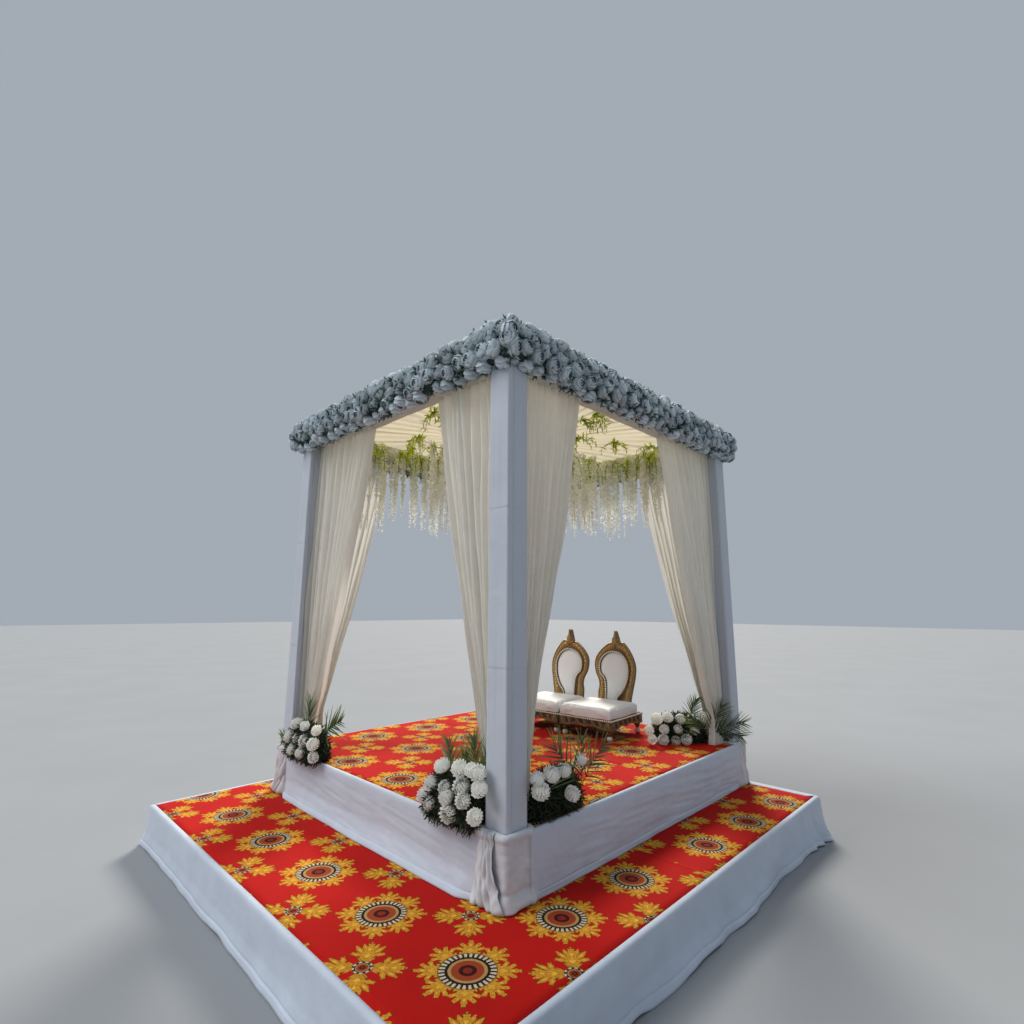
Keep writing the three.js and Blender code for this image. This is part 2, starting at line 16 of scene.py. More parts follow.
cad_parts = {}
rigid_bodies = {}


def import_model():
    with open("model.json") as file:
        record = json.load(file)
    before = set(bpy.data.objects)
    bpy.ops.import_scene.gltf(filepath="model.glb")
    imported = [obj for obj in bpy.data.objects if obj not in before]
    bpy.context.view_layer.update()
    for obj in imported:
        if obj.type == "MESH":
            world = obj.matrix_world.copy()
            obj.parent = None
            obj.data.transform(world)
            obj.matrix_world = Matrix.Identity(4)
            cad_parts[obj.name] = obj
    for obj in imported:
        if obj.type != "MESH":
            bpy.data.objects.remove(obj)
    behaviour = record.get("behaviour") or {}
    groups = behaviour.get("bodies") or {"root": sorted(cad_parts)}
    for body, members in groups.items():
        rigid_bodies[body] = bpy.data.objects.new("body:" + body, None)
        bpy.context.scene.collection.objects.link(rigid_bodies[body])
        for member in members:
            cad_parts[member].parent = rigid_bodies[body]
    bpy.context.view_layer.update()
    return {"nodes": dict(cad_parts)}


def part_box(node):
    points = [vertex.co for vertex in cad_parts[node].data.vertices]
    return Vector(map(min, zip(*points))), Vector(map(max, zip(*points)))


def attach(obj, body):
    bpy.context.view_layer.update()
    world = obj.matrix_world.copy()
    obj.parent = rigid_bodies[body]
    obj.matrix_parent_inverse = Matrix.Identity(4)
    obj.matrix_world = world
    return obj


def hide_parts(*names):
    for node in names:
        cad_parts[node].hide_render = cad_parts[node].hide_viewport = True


bl_info = {
    "name": "Wedding Mandap",
    "version": (1, 0, 0),
    "blender": (4, 5, 0),
    "location": "3D View > Sidebar > Mandap",
    "description": "Dresses a mandap in cloth, carpet, flowers, palm leaves and carved gilt wood",
    "category": "Object",
}

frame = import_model()

MM = 0.001

# Places that the frame gives
COLUMN_LOW, COLUMN_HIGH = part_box("column_front_right")
COLUMN_SIDE = COLUMN_HIGH.x - COLUMN_LOW.x
# Half the distances between the columns' centres, along X and along Y
HALF_BAYS = (COLUMN_LOW.x + COLUMN_HIGH.x) / 2, -(COLUMN_LOW.y + COLUMN_HIGH.y) / 2
FRAME_PLAN = tuple(-half for half in HALF_BAYS), HALF_BAYS
DECKS = {level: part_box(f"{level}_deck") for level in ("lower", "upper")}
LOWER_FLOOR, UPPER_FLOOR = (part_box(f"{level}_carpet")[1].z for level in DECKS)
BEAM_UNDERSIDE, BEAM_TOP = (corner.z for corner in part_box("beam_front"))
WRAP_LOW, WRAP_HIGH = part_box("base_wrap_front_right")
WRAP_SIDE = WRAP_HIGH.x - WRAP_LOW.x

# For each side, the way out from it
SIDES = {"front": (0, -1), "right": (1, 0), "back": (0, 1), "left": (-1, 0)}
CORNERS = {"front_left": (-1, -1), "front_right": (1, -1), "back_right": (1, 1), "back_left": (-1, 1)}


def linear(code):
    """An sRGB hex value as linear red, green and blue."""
    parts = [int(code[i:i + 2], 16) / 255 for i in (1, 3, 5)]
    return tuple(c / 12.92 if c <= 0.04045 else ((c + 0.055) / 1.055) ** 2.4 for c in parts)


def rgba(value, factor=1.0):
    """A hex value or a linear colour times a factor, with a full alpha."""
    light = linear(value) if isinstance(value, str) else value[:3]
    return (*(min(1.0, c * factor) for c in light), 1.0)


def colour(name, description, code):
    """A colour property whose default is an sRGB hex value."""
    return FloatVectorProperty(
        name=name, description=description, subtype="COLOR", size=3, min=0, max=1, default=linear(code)
    )


def size(name, description, default):
    """A length property in metres."""
    return FloatProperty(name=name, description=description, default=default, min=0, max=10, unit="LENGTH")


class MandapCloth(PropertyGroup):
    """Cloth and carpets."""

    skirt: colour("Skirt", "White polyester of the deck skirts", "#C3CDDB")
    column: colour("Column", "White stretch cloth of the columns", "#BCC3CD")
    wrap: colour("Base wrap", "White cloth bunched round the columns' feet", "#D2D6DB")
    beam: colour("Beam", "Cream cloth over the beams", "#C9C9BA")
    ceiling: colour("Ceiling", "Cream satin of the pleated ceiling", "#FBF6E6")
    curtain: colour("Curtain", "Ivory georgette of the curtains", "#F6F5EE")
    carpet_red: colour("Carpet red", "Ground colour of the printed carpet", "#B0120B")
    narrow_cut: size("Narrow curtain cut", "Width that a narrow curtain was cut to", 1.16)
    wide_cut: size("Wide curtain cut", "Width that a wide curtain was cut to", 1.46)
    pleat: size("Pleat", "Cloth that one pleat takes", 0.130)
    thickness: size("Cloth thickness", "Thickness of the skirts, wraps and column covers", 0.0015)


class MandapFlowers(PropertyGroup):
    """Flowers and leaves."""

    garland: colour("Garland flower", "Silk flower heads of the garlands", "#A9B9C1")
    garland_leaf: colour("Garland leaf", "Dark leaves of the garlands", "#26423F")
    mum: colour("Chrysanthemum", "White chrysanthemum petals", "#F6F7F0")
    palm: colour("Palm leaf", "Palm leaves of the bouquets", "#3B5224")
    fern: colour("Fern", "Dark ferns packed round the stems", "#15200F")
    string: colour("Hanging flower", "Small petals of the hanging strings", "#FAFBF0")
    string_leaf: colour("Hanging leaf", "Yellow-green leaves beside the strings", "#A3BC22")
    head: size("Garland head", "Diameter of a flower head of the garlands", 0.100)
    spacing: size("Head spacing", "Least distance between flower heads", 0.078)
    mum_head: size("Chrysanthemum head", "Diameter of a chrysanthemum head", 0.092)
    seed: IntProperty(name="Seed", description="Start of every random draw", default=7, min=0)


class MandapSeats(PropertyGroup):
    """The two wedding seats."""

    gilt: colour("Gilt", "Old gold paint on the carving", "#B8945C")
    patina: colour("Patina", "Brown glaze left in the carving's hollows", "#2E1A0C")
    leather: colour("Leather", "White leatherette of the pads", "#F0F0EF")
    carving: size("Carving depth", "How far the carved leaves stand out", 0.007)
    bead: size("Bead", "Diameter of the beads round the pads", 0.016)


# Helpers for node trees, meshes and pieces


def set_values(item, **values):
    """Sets values of an item of Blender's, and returns the item."""
    for key, value in values.items():
        setattr(item, key, value)
    return item


def add_object(name, data):
    """A new object in the scene."""
    item = bpy.data.objects.new(name, data)
    bpy.context.scene.collection.objects.link(item)
    return item


def add_node(tree, kind, inputs=(), stops=(), **settings):
    """Adds a node and fills or links its inputs, given by name or in their order. kind is a shader node's
    unless it says otherwise, and an operation may follow it after a point."""
    kind, _, operation = kind.partition(".")
    node = tree.nodes.new(kind if "Node" in kind else f"ShaderNode{kind}")
    set_values(node, **settings, **({"operation": operation} if operation else {}))
    sockets = [socket for socket in node.inputs if socket.enabled]
    for key, value in inputs.items() if isinstance(inputs, dict) else enumerate(inputs):
        socket = sockets[key] if isinstance(key, int) else next(s for s in sockets if s.name == key)
        if isinstance(value, bpy.types.Node):
            value = next(s for s in value.outputs if s.enabled)
        if isinstance(value, bpy.types.NodeSocket):
            tree.links.new(value, socket)
        else:
            socket.default_value = rgba(value) if str(value).startswith("#") else value
    for number, (place, code) in enumerate(stops):
        elements = node.color_ramp.elements
        element = elements[number] if number < len(elements) else elements.new(1.0)
        element.position = place
        element.color = rgba(code)
    return node


def turned(degrees, axis="Z"):
    """A turn round an axis."""
    return Matrix.Rotation(radians(degrees), 4, axis)


def grid_of(*parts):
    """Points from their coordinates, which may be rows, columns or single values."""
    return np.stack(np.broadcast_arrays(*parts), -1)


def ways(angles):
    """The ways in the plane at angles from X."""
    return np.stack([np.cos(angles), np.sin(angles)], -1)


def distances(points):
    """How far along a line each of its points lies."""
    return np.concatenate([[0], np.cumsum(np.linalg.norm(np.diff(points, axis=0), axis=1))])


def unit(vectors):
    """Vectors brought to a length of one."""
    return vectors / np.linalg.norm(vectors, axis=-1, keepdims=True)


def transformed(points, matrix):
    """Points moved and turned by a matrix."""
    matrix = np.array(matrix)
    return points @ matrix[:3, :3].T + matrix[:3, 3]


def axis_of(side):
    """0 for a side that runs along X and 1 for one along Y."""
    return abs(SIDES[side][0])


def pattern(size_mm):
    """A texture's scale, from the real size of its pattern in millimetres."""
    return 1 / (size_mm * MM)


def start_material(name, **sockets):
    """A new material with its shader's sockets set. Returns it and its tree's add_node."""
    material = bpy.data.materials.new(name)
    material.use_nodes = True
    tree = material.node_tree
    shader = tree.nodes["Principled BSDF"]
    for key, value in sockets.items():
        label = key.replace("_", " ").title().replace("Ior", "IOR")
        shader.inputs[label].default_value = value
    return material, partial(add_node, tree)


def link_shader(material, source, target):
    """Links a node to one of the shader's inputs."""
    tree = material.node_tree
    tree.links.new(next(s for s in source.outputs if s.enabled), tree.nodes["Principled BSDF"].inputs[target])


def let_through(material, node, tone, bump, through, clear=0.0):
    """Lets some light through a thin material, and some of what is behind it."""
    tree = material.node_tree
    back = node("BsdfTranslucent", [tone, bump])
    mixed = node("MixShader", [through, tree.nodes["Principled BSDF"], back])
    if clear:
        mixed = node("MixShader", [clear, mixed, node("BsdfTransparent")])
    tree.links.new(mixed.outputs[0], tree.nodes["Material Output"].inputs["Surface"])


def noise2(x, y, seed):
    """Smooth random heights from -1 to 1, about one bump for each unit."""
    cells = 64
    table = np.random.default_rng(seed).uniform(-1, 1, (cells, cells))
    x, y = np.broadcast_arrays(np.asarray(x, float), np.asarray(y, float))
    i, j = np.floor(x).astype(int), np.floor(y).astype(int)
    u, v = x - i, y - j
    u, v = u * u * (3 - 2 * u), v * v * (3 - 2 * v)
    low = table[i % cells, j % cells] * (1 - u) + table[(i + 1) % cells, j % cells] * u
    high = table[i % cells, (j + 1) % cells] * (1 - u) + table[(i + 1) % cells, (j + 1) % cells] * u
    return low * (1 - v) + high * v


def smooth_step(low, high, value):
    """0 below low, 1 above high and an even curve between them."""
    share = np.clip((np.asarray(value, float) - low) / (high - low), 0, 1)
    return share * share * (3 - 2 * share)


def ridge(value, middle, width):
    """1 at the middle, falling away to both sides."""
    return np.exp(-((value - middle) / width) ** 2)


def resampled(points, count, closed=False, extra=()):
    """Points at even distances along a line, and at extra ones from its end, with their distances."""
    points = np.asarray(points, float)
    if closed:
        points = np.vstack([points, points[:1]])
    along = distances(points)
    places = np.linspace(0, along[-1], count + closed)[:count]
    if len(extra):
        places = np.unique(np.concatenate([places, along[-1] - np.array(extra)]))
    return np.stack([np.interp(places, along, points[:, k]) for k in range(points.shape[1])], 1), places


class Shape:
    """A mesh being built: points, faces, and for each point a tone and a place on the flat cloth."""

    def __init__(self):
        self.parts, self.faces, self.count = [], [], 0

    def add_points(self, points, tones, flat):
        """Adds points with their tones and their places on the flat cloth."""
        self.parts.append((points, tones, flat))
        self.count += len(points)

    def joined(self):
        """The points, tones and places of all parts."""
        return [np.concatenate(values) for values in zip(*self.parts)]

    def add_grid(self, grid, value=0.0, flat=None, wrap=False, ring=False, keep=None, flip=False):
        """Adds a grid of quads. keep says which stay, wrap closes its rows and ring joins the last row to the
        first. The faces look at whoever sees its rows go up and its columns go right."""
        grid = np.asarray(grid, float)
        rows, columns = grid.shape[:2]
        index = self.count + np.arange(rows * columns).reshape(rows, columns)
        net = np.vstack([index, index[:1]]) if ring else index
        left, right = (net, np.roll(net, -1, 1)) if wrap else (net[:, :-1], net[:, 1:])
        quads = np.stack([left[:-1], right[:-1], right[1:], left[1:]], -1)
        quads = (quads[keep] if keep is not None else quads).reshape(-1, 4)
        self.faces += (quads[:, ::-1] if flip else quads).tolist()
        flat = np.zeros((rows * columns, 2)) if flat is None else flat.reshape(-1, 2)
        self.add_points(grid.reshape(-1, 3), np.broadcast_to(value, (rows, columns)).ravel(), flat)
        self.last = index
        return self

    def add_fan(self, ring, flip=False):
        """Closes a ring of points with a fan round their middle."""
        ring = list(ring)[::-1] if flip else list(ring)
        self.faces += [[ring[i - 1], ring[i], self.count] for i in range(len(ring))]
        self.add_points(self.joined()[0][ring].mean(0)[None], np.zeros(1), np.zeros((1, 2)))

    def add_closed(self, grid, value=0.0, flip=False):
        """Adds a grid whose rows are rings, and closes its first and its last."""
        first, *_, last = self.add_grid(grid, value, wrap=True, flip=flip).last
        self.add_fan(first, flip=not flip)
        self.add_fan(last, flip=flip)
        return self

    def add_shape(self, other, matrix=Matrix.Identity(4)):
        """Adds another shape, moved by a matrix."""
        points, tones, flat = other.joined()
        self.faces += [[i + self.count for i in face] for face in other.faces]
        self.add_points(transformed(points, matrix), tones, flat)

    def make(self, name, linked=True, flat=False):
        """One object from all of it, smooth shaded."""
        points, tones, places = self.joined()
        mesh = bpy.data.meshes.new(name)
        mesh.from_pydata(points.tolist(), [], self.faces)
        mesh.shade_smooth()
        tone = mesh.attributes.new("tone", "FLOAT", "POINT")
        tone.data.foreach_set("value", tones.astype(np.float32))
        if flat:
            layer = mesh.uv_layers.new(name="cloth")
            corners = np.empty(len(mesh.loops), np.int32)
            mesh.loops.foreach_get("vertex_index", corners)
            layer.uv.foreach_set("vector", places[corners].astype(np.float32).ravel())
        mesh.update()
        return add_object(name, mesh) if linked else bpy.data.objects.new(name, mesh)


def place_piece(piece, material, slot, *nodes):
    """Gives a piece its finish, hangs it on the root body and hides its nodes of the frame."""
    piece.data.materials.clear()
    piece.data.materials.append(material)
    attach(piece, "root")
    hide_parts(*nodes)


def along_side(side, plan, out, height, share, mitre=1.0, shorten=0.0):
    """Points beside one side of a rectangle, at a distance out from it. share runs along it from -1 to 1.
    With a mitre of 1 its ends meet the next sides' on the diagonals."""
    (out_x, out_y), (low, high) = SIDES[side], plan
    half = [(high[k] - low[k]) / 2 for k in (0, 1)]
    axis = axis_of(side)
    reach = half[1 - axis] + out
    run = share * (half[axis] - shorten + mitre * out)
    x = (low[0] + high[0]) / 2 + out_x * reach - out_y * run
    y = (low[1] + high[1]) / 2 + out_y * reach + out_x * run
    return grid_of(x, y, height)


def flat_grid(grid):
    """Each point's place on the flat cloth, from the distances along rows and columns."""
    across = np.linalg.norm(np.diff(grid, axis=1), axis=2)
    down = np.linalg.norm(np.diff(grid, axis=0), axis=2)
    u = np.concatenate([np.zeros((grid.shape[0], 1)), np.cumsum(across, 1)], 1)
    v = np.concatenate([np.zeros((1, grid.shape[1])), np.cumsum(down, 0)], 0)
    return np.stack([u * (u[:, -1].mean() / np.maximum(u[:, -1:], 1e-6)), v], -1)


def cloth_piece(name, grid, material, slot, node, held, rests_on, thickness=0.0, flat=None, cut=None,
                area=None, value=0.0, **net):
    """A sheet of cloth from a grid of points, as thick as it is inwards from its outer face. The flat size it
    was cut to is not used."""
    flat = flat_grid(grid) if flat is None else flat
    piece = Shape().add_grid(grid, value, flat, **net).make(name, flat=True)
    if thickness:
        solid = piece.modifiers.new("Thickness", "SOLIDIFY")
        set_values(solid, thickness=thickness, offset=-1.0, use_even_offset=False)
    place_piece(piece, material, slot, node)


# Materials


# Kinds of cloth: name, size of the small creases in millimetres, and what differs from PLAIN_CLOTH. shade is
# how dark the dust is, double how much darker the painted shade in its folds and pleats makes it where the
# tone attribute marks them, through and clear how much light and how much of what is behind come through.
PLAIN_CLOTH = {"rough": 0.85, "sheen": 0.2, "shade": 0.86, "double": 0.0, "through": 0.0, "clear": 0.0}
CLOTHS = {
    # White woven polyester: dull, faintly fuzzy, with small creases and a little dust
    "skirt": ("woven polyester", 40, {}),
    # White knitted stretch cloth pulled tight: smoother than woven cloth, hardly any creases
    "column": ("knitted stretch cloth", 150, {"rough": 0.7, "shade": 0.9}),
    # Woven polyester, handled and tied, so it is greyer and more creased, with painted shade between its
    # folds
    "wrap": ("bunched polyester", 30, {"shade": 0.8, "double": 0.35}),
    # Cream knitted cloth stretched over the beams, warm where the canopy's light comes back to it
    "beam": ("cream stretch cloth", 120, {"rough": 0.75, "shade": 0.9}),
    # Satin: long floats give it a soft gloss along the pleats, daylight comes through, painted shade in pleat
    # hollows
    "ceiling": ("pleated satin", 90, {
        "rough": 0.42, "sheen": 0.1, "shade": 0.93, "double": 0.30, "through": 0.6,
    }),
    # Georgette: a thin crinkled sheer that lets light and a little of what is behind through; painted shade
    # in pleats
    "curtain": ("sheer georgette", 25, {
        "rough": 0.8, "shade": 0.94, "double": 0.14, "through": 0.48, "clear": 0.05,
    }),
}
# Real threads are 0.4 mm apart; they are drawn 2.5 mm apart so that they show
THREAD = 2.5


def cloth_material(cloth, kind):
    """One kind of woven cloth, in its own colour."""
    name, crumple, own = CLOTHS[kind]
    looks, base = {**PLAIN_CLOTH, **own}, getattr(cloth, kind)
    material, node = start_material(
        name, roughness=looks["rough"], sheen_weight=looks["sheen"], sheen_roughness=0.5
    )
    place = node("UVMap", uv_map="cloth")
    stains = node("TexNoise", {"Vector": place, "Scale": pattern(435), "Detail": 5.0})
    mottle = node("TexNoise", {"Vector": place, "Scale": pattern(4 * crumple), "Detail": 4.0})
    both = node("Math.MULTIPLY", [stains, mottle])
    spread = node("MapRange", [both, 0.12, 0.42, 0.0, 1.0])
    tone = node("Mix", [spread, rgba(base, looks["shade"]), rgba(base)], data_type="RGBA")
    # Painted shade: darker where the tone attribute marks the hollows of folds and pleats
    if looks["double"]:
        folded = node("Attribute", attribute_name="tone").outputs["Fac"]
        tone = node("Mix", [folded, tone, rgba(base, 1 - looks["double"])], data_type="RGBA")
    link_shader(material, tone, "Base Color")
    threads = [
        node("TexWave", {"Vector": place, "Scale": pattern(2 * THREAD)}, bands_direction=way).outputs["Fac"]
        for way in "XY"
    ]
    weave = node("Math", threads)
    fine = node("Bump", {"Height": weave, "Distance": 0.15 * THREAD * MM, "Strength": 0.35})
    scale = pattern(crumple / 0.6)
    creases = node("TexNoise", {"Vector": place, "Scale": scale, "Detail": 3.0, "Distortion": 0.8})
    deep = 0.12 * crumple * MM
    bump = node("Bump", {"Height": creases, "Distance": deep, "Strength": 0.5, "Normal": fine})
    link_shader(material, bump, "Normal")
    if looks["through"]:
        let_through(material, node, tone, bump, looks["through"], looks["clear"])
    return material


# The carpet's print: pitch of the medallions, how far it runs out of square, where a second length of carpet
# starts and how far its print is set off
PRINT_PITCH = (0.573, 0.53)
PRINT_SKEW = (0.047, 0.024)
PRINTS = {
    "lower": {"origin": (1.41, -1.735), "seam": -0.36, "shift": (0.06, 0.13)},
    "upper": {"origin": (0.14, -1.19), "seam": 0.08, "shift": (0.0, 0.0)},
}
# The printed motifs, the upper one last. A leaf is drawn from ellipses: middle along and across the leaf,
# turn in degrees, half length and half width, in millimetres.
MOTIFS = (
    {"offset": 0.5, "leaves": 4, "turn": 45, "disc": 0.040, "pearls": 9, "ellipses": (
        (118, 0, 0, 50, 19), (112, 36, 38, 36, 13), (84, 44, 78, 28, 12), (76, 0, 0, 46, 36),
        (134, 22, 24, 22, 9),
    )},
    {"offset": 0.0, "leaves": 8, "turn": 0, "disc": 0.112, "pearls": 30, "ellipses": (
        (166, 0, 0, 42, 13), (160, 24, 42, 29, 10), (139, 38, 66, 25, 11), (132, 0, 0, 32, 34),
        (108, 0, 0, 20, 50),
    )},
)
# Slanting veins across a leaf, 19 to 24 mm apart, as a wave in radians for each metre
VEIN_WAVE = (260, -330, 0)
# Colours of a disc's rings, and of a leaf from its middle to its edge
RINGS = (
    (0.0, "#7E2416"), (0.16, "#35130F"), (0.30, "#8F3A1E"), (0.55, "#A5834F"), (0.66, "#281613"),
    (0.84, "#49301F"), (0.97, "#8A5E1C"),
)
LEAF_GOLD = (
    (0.0, "#DDAE3C"), (0.34, "#C4892A"), (0.52, "#A56A17"), (0.64, "#D29C31"), (0.82, "#A86F1B"),
    (0.94, "#5E350C"),
)


def carpet_print(name, cloth, print_place):
    # Printed needle felt: short matted fibres, so no gloss, a fine fuzz and a print with frayed edges. Real
    # fibres are under 0.1 mm thick; the fuzz and the frays are drawn as coarse as they need to show.
    material, node = start_material(name, roughness=0.95, specular_ior_level=0.15)
    space = node("TexCoord").outputs["Object"]
    fray = node("TexNoise", {"Vector": space, "Scale": pattern(7.14), "Detail": 2.0}).outputs["Color"]
    loose = node("VectorMath.SUBTRACT", [fray, (0.5, 0.5, 0.5)])
    small = node("VectorMath.SCALE", [loose, 4 * MM])
    frayed = node("VectorMath", [space, small])
    along = node("SeparateXYZ", [frayed]).outputs["Y"]
    far = node("Math.GREATER_THAN", [along, print_place["seam"]])
    (origin_x, origin_y), (skew_x, skew_y) = print_place["origin"], PRINT_SKEW
    places = []
    for way, start, shift in (
        ((1, -skew_x, 0), origin_x - skew_x * origin_y, print_place["shift"][0]),
        ((-skew_y, 1, 0), origin_y - skew_y * origin_x, print_place["shift"][1]),
    ):
        line = node("VectorMath.DOT_PRODUCT", [frayed, way])
        moved = node("Math.MULTIPLY_ADD", [far, -shift, line])
        places.append(node("Math.SUBTRACT", [moved, start]))
    worn = node("TexNoise", {"Vector": space, "Scale": pattern(333), "Detail": 6.0})
    shown = node(
        "Mix", [worn, rgba(cloth.carpet_red, 0.78), rgba(cloth.carpet_red, 1.15)], data_type="RGBA"
    )
    for motif in MOTIFS:
        shown = add_motif(node, places, motif, shown)
    link_shader(material, shown, "Base Color")
    fuzz = node("TexNoise", {"Vector": space, "Scale": pattern(2.38), "Detail": 3.0})
    bump = node("Bump", {"Height": fuzz, "Distance": 2 * MM, "Strength": 0.5})
    link_shader(material, bump, "Normal")
    return material


def add_motif(node, places, motif, ground):
    """A repeated motif over the ground colour: gold leaves round a dark disc with pearls."""
    cell = []
    for place, pitch in zip(places, PRINT_PITCH):
        moved = node("Math.SUBTRACT", [place, motif["offset"] * pitch])
        cell.append(node("Math.WRAP", [moved, pitch / 2, -pitch / 2]))
    spot = node("CombineXYZ", cell)
    reach = node("VectorMath.LENGTH", [spot])
    angle = node("Math.ARCTAN2", [cell[1], cell[0]])
    spun = node("Math.SUBTRACT", [angle, radians(motif["turn"])])
    folded = node("Math.PINGPONG", [spun, pi / motif["leaves"]])
    way = node("CombineXYZ", [node(f"Math.{wave}", [folded]) for wave in ("COSINE", "SINE")])
    on_leaf = node("VectorMath.SCALE", [way, reach])
    nearest = 9.0
    for u, v, turn, half_u, half_v in motif["ellipses"]:
        local = node(
            "Mapping",
            [on_leaf, (u * MM, v * MM, 0), (0, 0, radians(turn)), (half_u * MM, half_v * MM, 1)],
            vector_type="TEXTURE",
        )
        length = node("VectorMath.LENGTH", [local])
        nearest = node("Math.MINIMUM", [nearest, length])
    leaf = node("Math.LESS_THAN", [nearest, 1.0])
    rows = node("VectorMath.DOT_PRODUCT", [on_leaf, VEIN_WAVE])
    rows = node("Math.SINE", [rows])
    veins = node("Math.MULTIPLY_ADD", [rows, 0.13, nearest])
    patches = node("TexNoise", {"Vector": spot, "Scale": pattern(26.3), "Detail": 3.0, "Distortion": 1.2})
    veins = node("Math.SUBTRACT", [veins, 0.24])
    depth = node("Math.MULTIPLY_ADD", [patches, 0.42, veins])
    gold = node("ValToRGB", [depth], LEAF_GOLD)
    disc = motif["disc"]
    rings = node("ValToRGB", [node("Math.MULTIPLY", [reach, 1 / disc])], RINGS)
    rings.color_ramp.interpolation = "CONSTANT"
    beat = node("Math.MULTIPLY", [angle, motif["pearls"]])
    beat = node("Math.COSINE", [beat])
    beat = node("Math.GREATER_THAN", [beat, -0.1])
    ring = node("Math.COMPARE", [reach, disc * 0.86, disc * 0.10])
    pearl = node("Math.MULTIPLY", [ring, beat])
    pearled = node("Mix", [pearl, rings, "#BDB49C"], data_type="RGBA")
    centre = node("Math.LESS_THAN", [reach, disc])
    printed = node("Mix", [centre, gold, pearled], data_type="RGBA")
    shown = node("Math.MAXIMUM", [leaf, centre])
    return node("Mix", [shown, ground, printed], data_type="RGBA")


def mottled(name, stops, patch, stretch=1.0, **sockets):
    """A mottled material, from the size of its patches in millimetres. Returns it, its add_node and its
    coordinates."""
    material, node = start_material(name, **sockets)
    space = node("TexCoord").outputs["Object"]
    long = node("Mapping", {"Vector": space, "Scale": (1.0, stretch, stretch)})
    patches = node("TexNoise", {"Vector": long, "Scale": pattern(patch), "Detail": 4.0})
    link_shader(material, node("ValToRGB", [patches], stops), "Base Color")
    return material, node, space


def deck_board():
    # Plywood: unsealed birch veneer, so it is dull with long soft figure.
    return mottled("birch plywood", [(0.3, "#7C5E3C"), (0.75, "#B39366")], 250, 12.0, roughness=0.7)[0]


# Kinds of petal and leaf: name, colours by the stem and at the tip, how much light comes through, how much
# the tint differs from head to head, and roughness
# The colour by the stem is painted shade where petals and leaves crowd together; for the chrysanthemum it is
# also its own green-yellow heart
PETALS = {
    # Artificial silk: heat-formed polyester, dull and soft, bluish white in the shade
    "garland": ("heat-formed silk petals", "#50666F", "#DDE6EA", 0.25, 0.18, 0.65),
    # Artificial leaves: dyed polyester on wire, matt and dark
    "garland_leaf": ("dyed silk leaves", "#0E1F1E", "#587670", 0.25, 0.3, 0.65),
    # Artificial wisteria: small thin greenish-white petals that light comes through
    "string": ("thin silk petals", "#EEF2E2", "#FFFFFF", 0.45, 0.05, 0.65),
    # Young artificial leaves: bright yellow-green, thin enough to glow
    "string_leaf": ("thin silk leaves", "#4B5E16", "#DDE04A", 0.45, 0.5, 0.65),
    # Fresh chrysanthemums: soft waxy petals, white with a green-yellow heart
    "mum": ("chrysanthemum petals", "#C6CBA4", "#FFFFFD", 0.3, 0.0, 0.65),
    # Areca palm: smooth narrow leaflets, deep green with a faint shine
    "palm": ("areca palm leaf", "#1A2A12", "#7F9150", 0.25, 0.0, 0.45),
    # Fern and small leaves packed round the stems, nearly black where they are in shade
    "fern": ("packed fern", "#070D06", "#2B3D1D", 0.25, 0.3, 0.65),
}


def petal_material(flowers, kind):
    """Thin petals or leaves: darker by the stem, a painted shade inside crowded heads and sprays (and the
    chrysanthemum's own green heart), paler at the tip, each head its own tint.
    """
    # Real veins are under 1 mm apart; the grain is drawn coarser so that it shows.
    name, dark, tip, through, spread, rough = PETALS[kind]
    base = getattr(flowers, kind)
    material, node = start_material(name, roughness=rough)
    tone, own = (node("Attribute", attribute_name=key).outputs["Fac"] for key in ("tone", "tint"))
    ramp = node("ValToRGB", [tone], [(0.0, dark), (0.5, base), (1.0, tip)])
    strength = node("MapRange", [own, 0.0, 1.0, 1 - spread, 1 + spread])
    shown = node("HueSaturation", {"Value": strength, "Color": ramp})
    link_shader(material, shown, "Base Color")
    space = node("TexCoord").outputs["Object"]
    grain = node("TexNoise", {"Vector": space, "Scale": pattern(3.85), "Detail": 2.0})
    bump = node("Bump", {"Height": grain, "Distance": MM, "Strength": 0.3})
    link_shader(material, bump, "Normal")
    let_through(material, node, shown, bump, through)
    return material


def gilt_wood(seats):
    # Old gold paint: a warm metal sheen on what stands out, brown glaze in the hollows; the low tones under
    # the cushion are painted shade.
    material, node = start_material("old gold paint on carved wood", coat_weight=0.15, coat_roughness=0.4)
    tone = node("Attribute", attribute_name="tone").outputs["Fac"]
    space = node("TexCoord").outputs["Object"]
    patches = node("TexNoise", {"Vector": space, "Scale": pattern(16.7), "Detail": 5.0})
    worn = node("Math.MULTIPLY_ADD", [patches, 0.7, -0.35])
    raised = node("Math", [tone, worn], use_clamp=True)
    gold = node("Mix", [raised, rgba(seats.patina), rgba(seats.gilt)], data_type="RGBA")
    link_shader(material, gold, "Base Color")
    link_shader(material, node("MapRange", [raised, 0.0, 1.0, 0.1, 0.65]), "Metallic")
    link_shader(material, node("MapRange", [raised, 0.0, 1.0, 0.65, 0.40]), "Roughness")
    bump = node("Bump", {"Height": patches, "Distance": 1.5 * MM, "Strength": 0.4})
    link_shader(material, bump, "Normal")
    return material


def white_leather(seats):
    # Leatherette: embossed PVC, a fine pebbled grain under a soft even gloss. Real pebbles are about 1 mm
    # wide; they are drawn 2.5 mm wide so that they show.
    stops = [(0.0, rgba(seats.leather, 0.9)), (1.0, seats.leather)]
    material, node, space = mottled("embossed leatherette", stops, 111, roughness=0.55, coat_weight=0.04)
    grain = node("TexVoronoi", {"Vector": space, "Scale": pattern(2.5)})
    bump = node("Bump", {"Height": grain, "Distance": 0.4 * MM, "Strength": 0.4})
    link_shader(material, bump, "Normal")
    return material


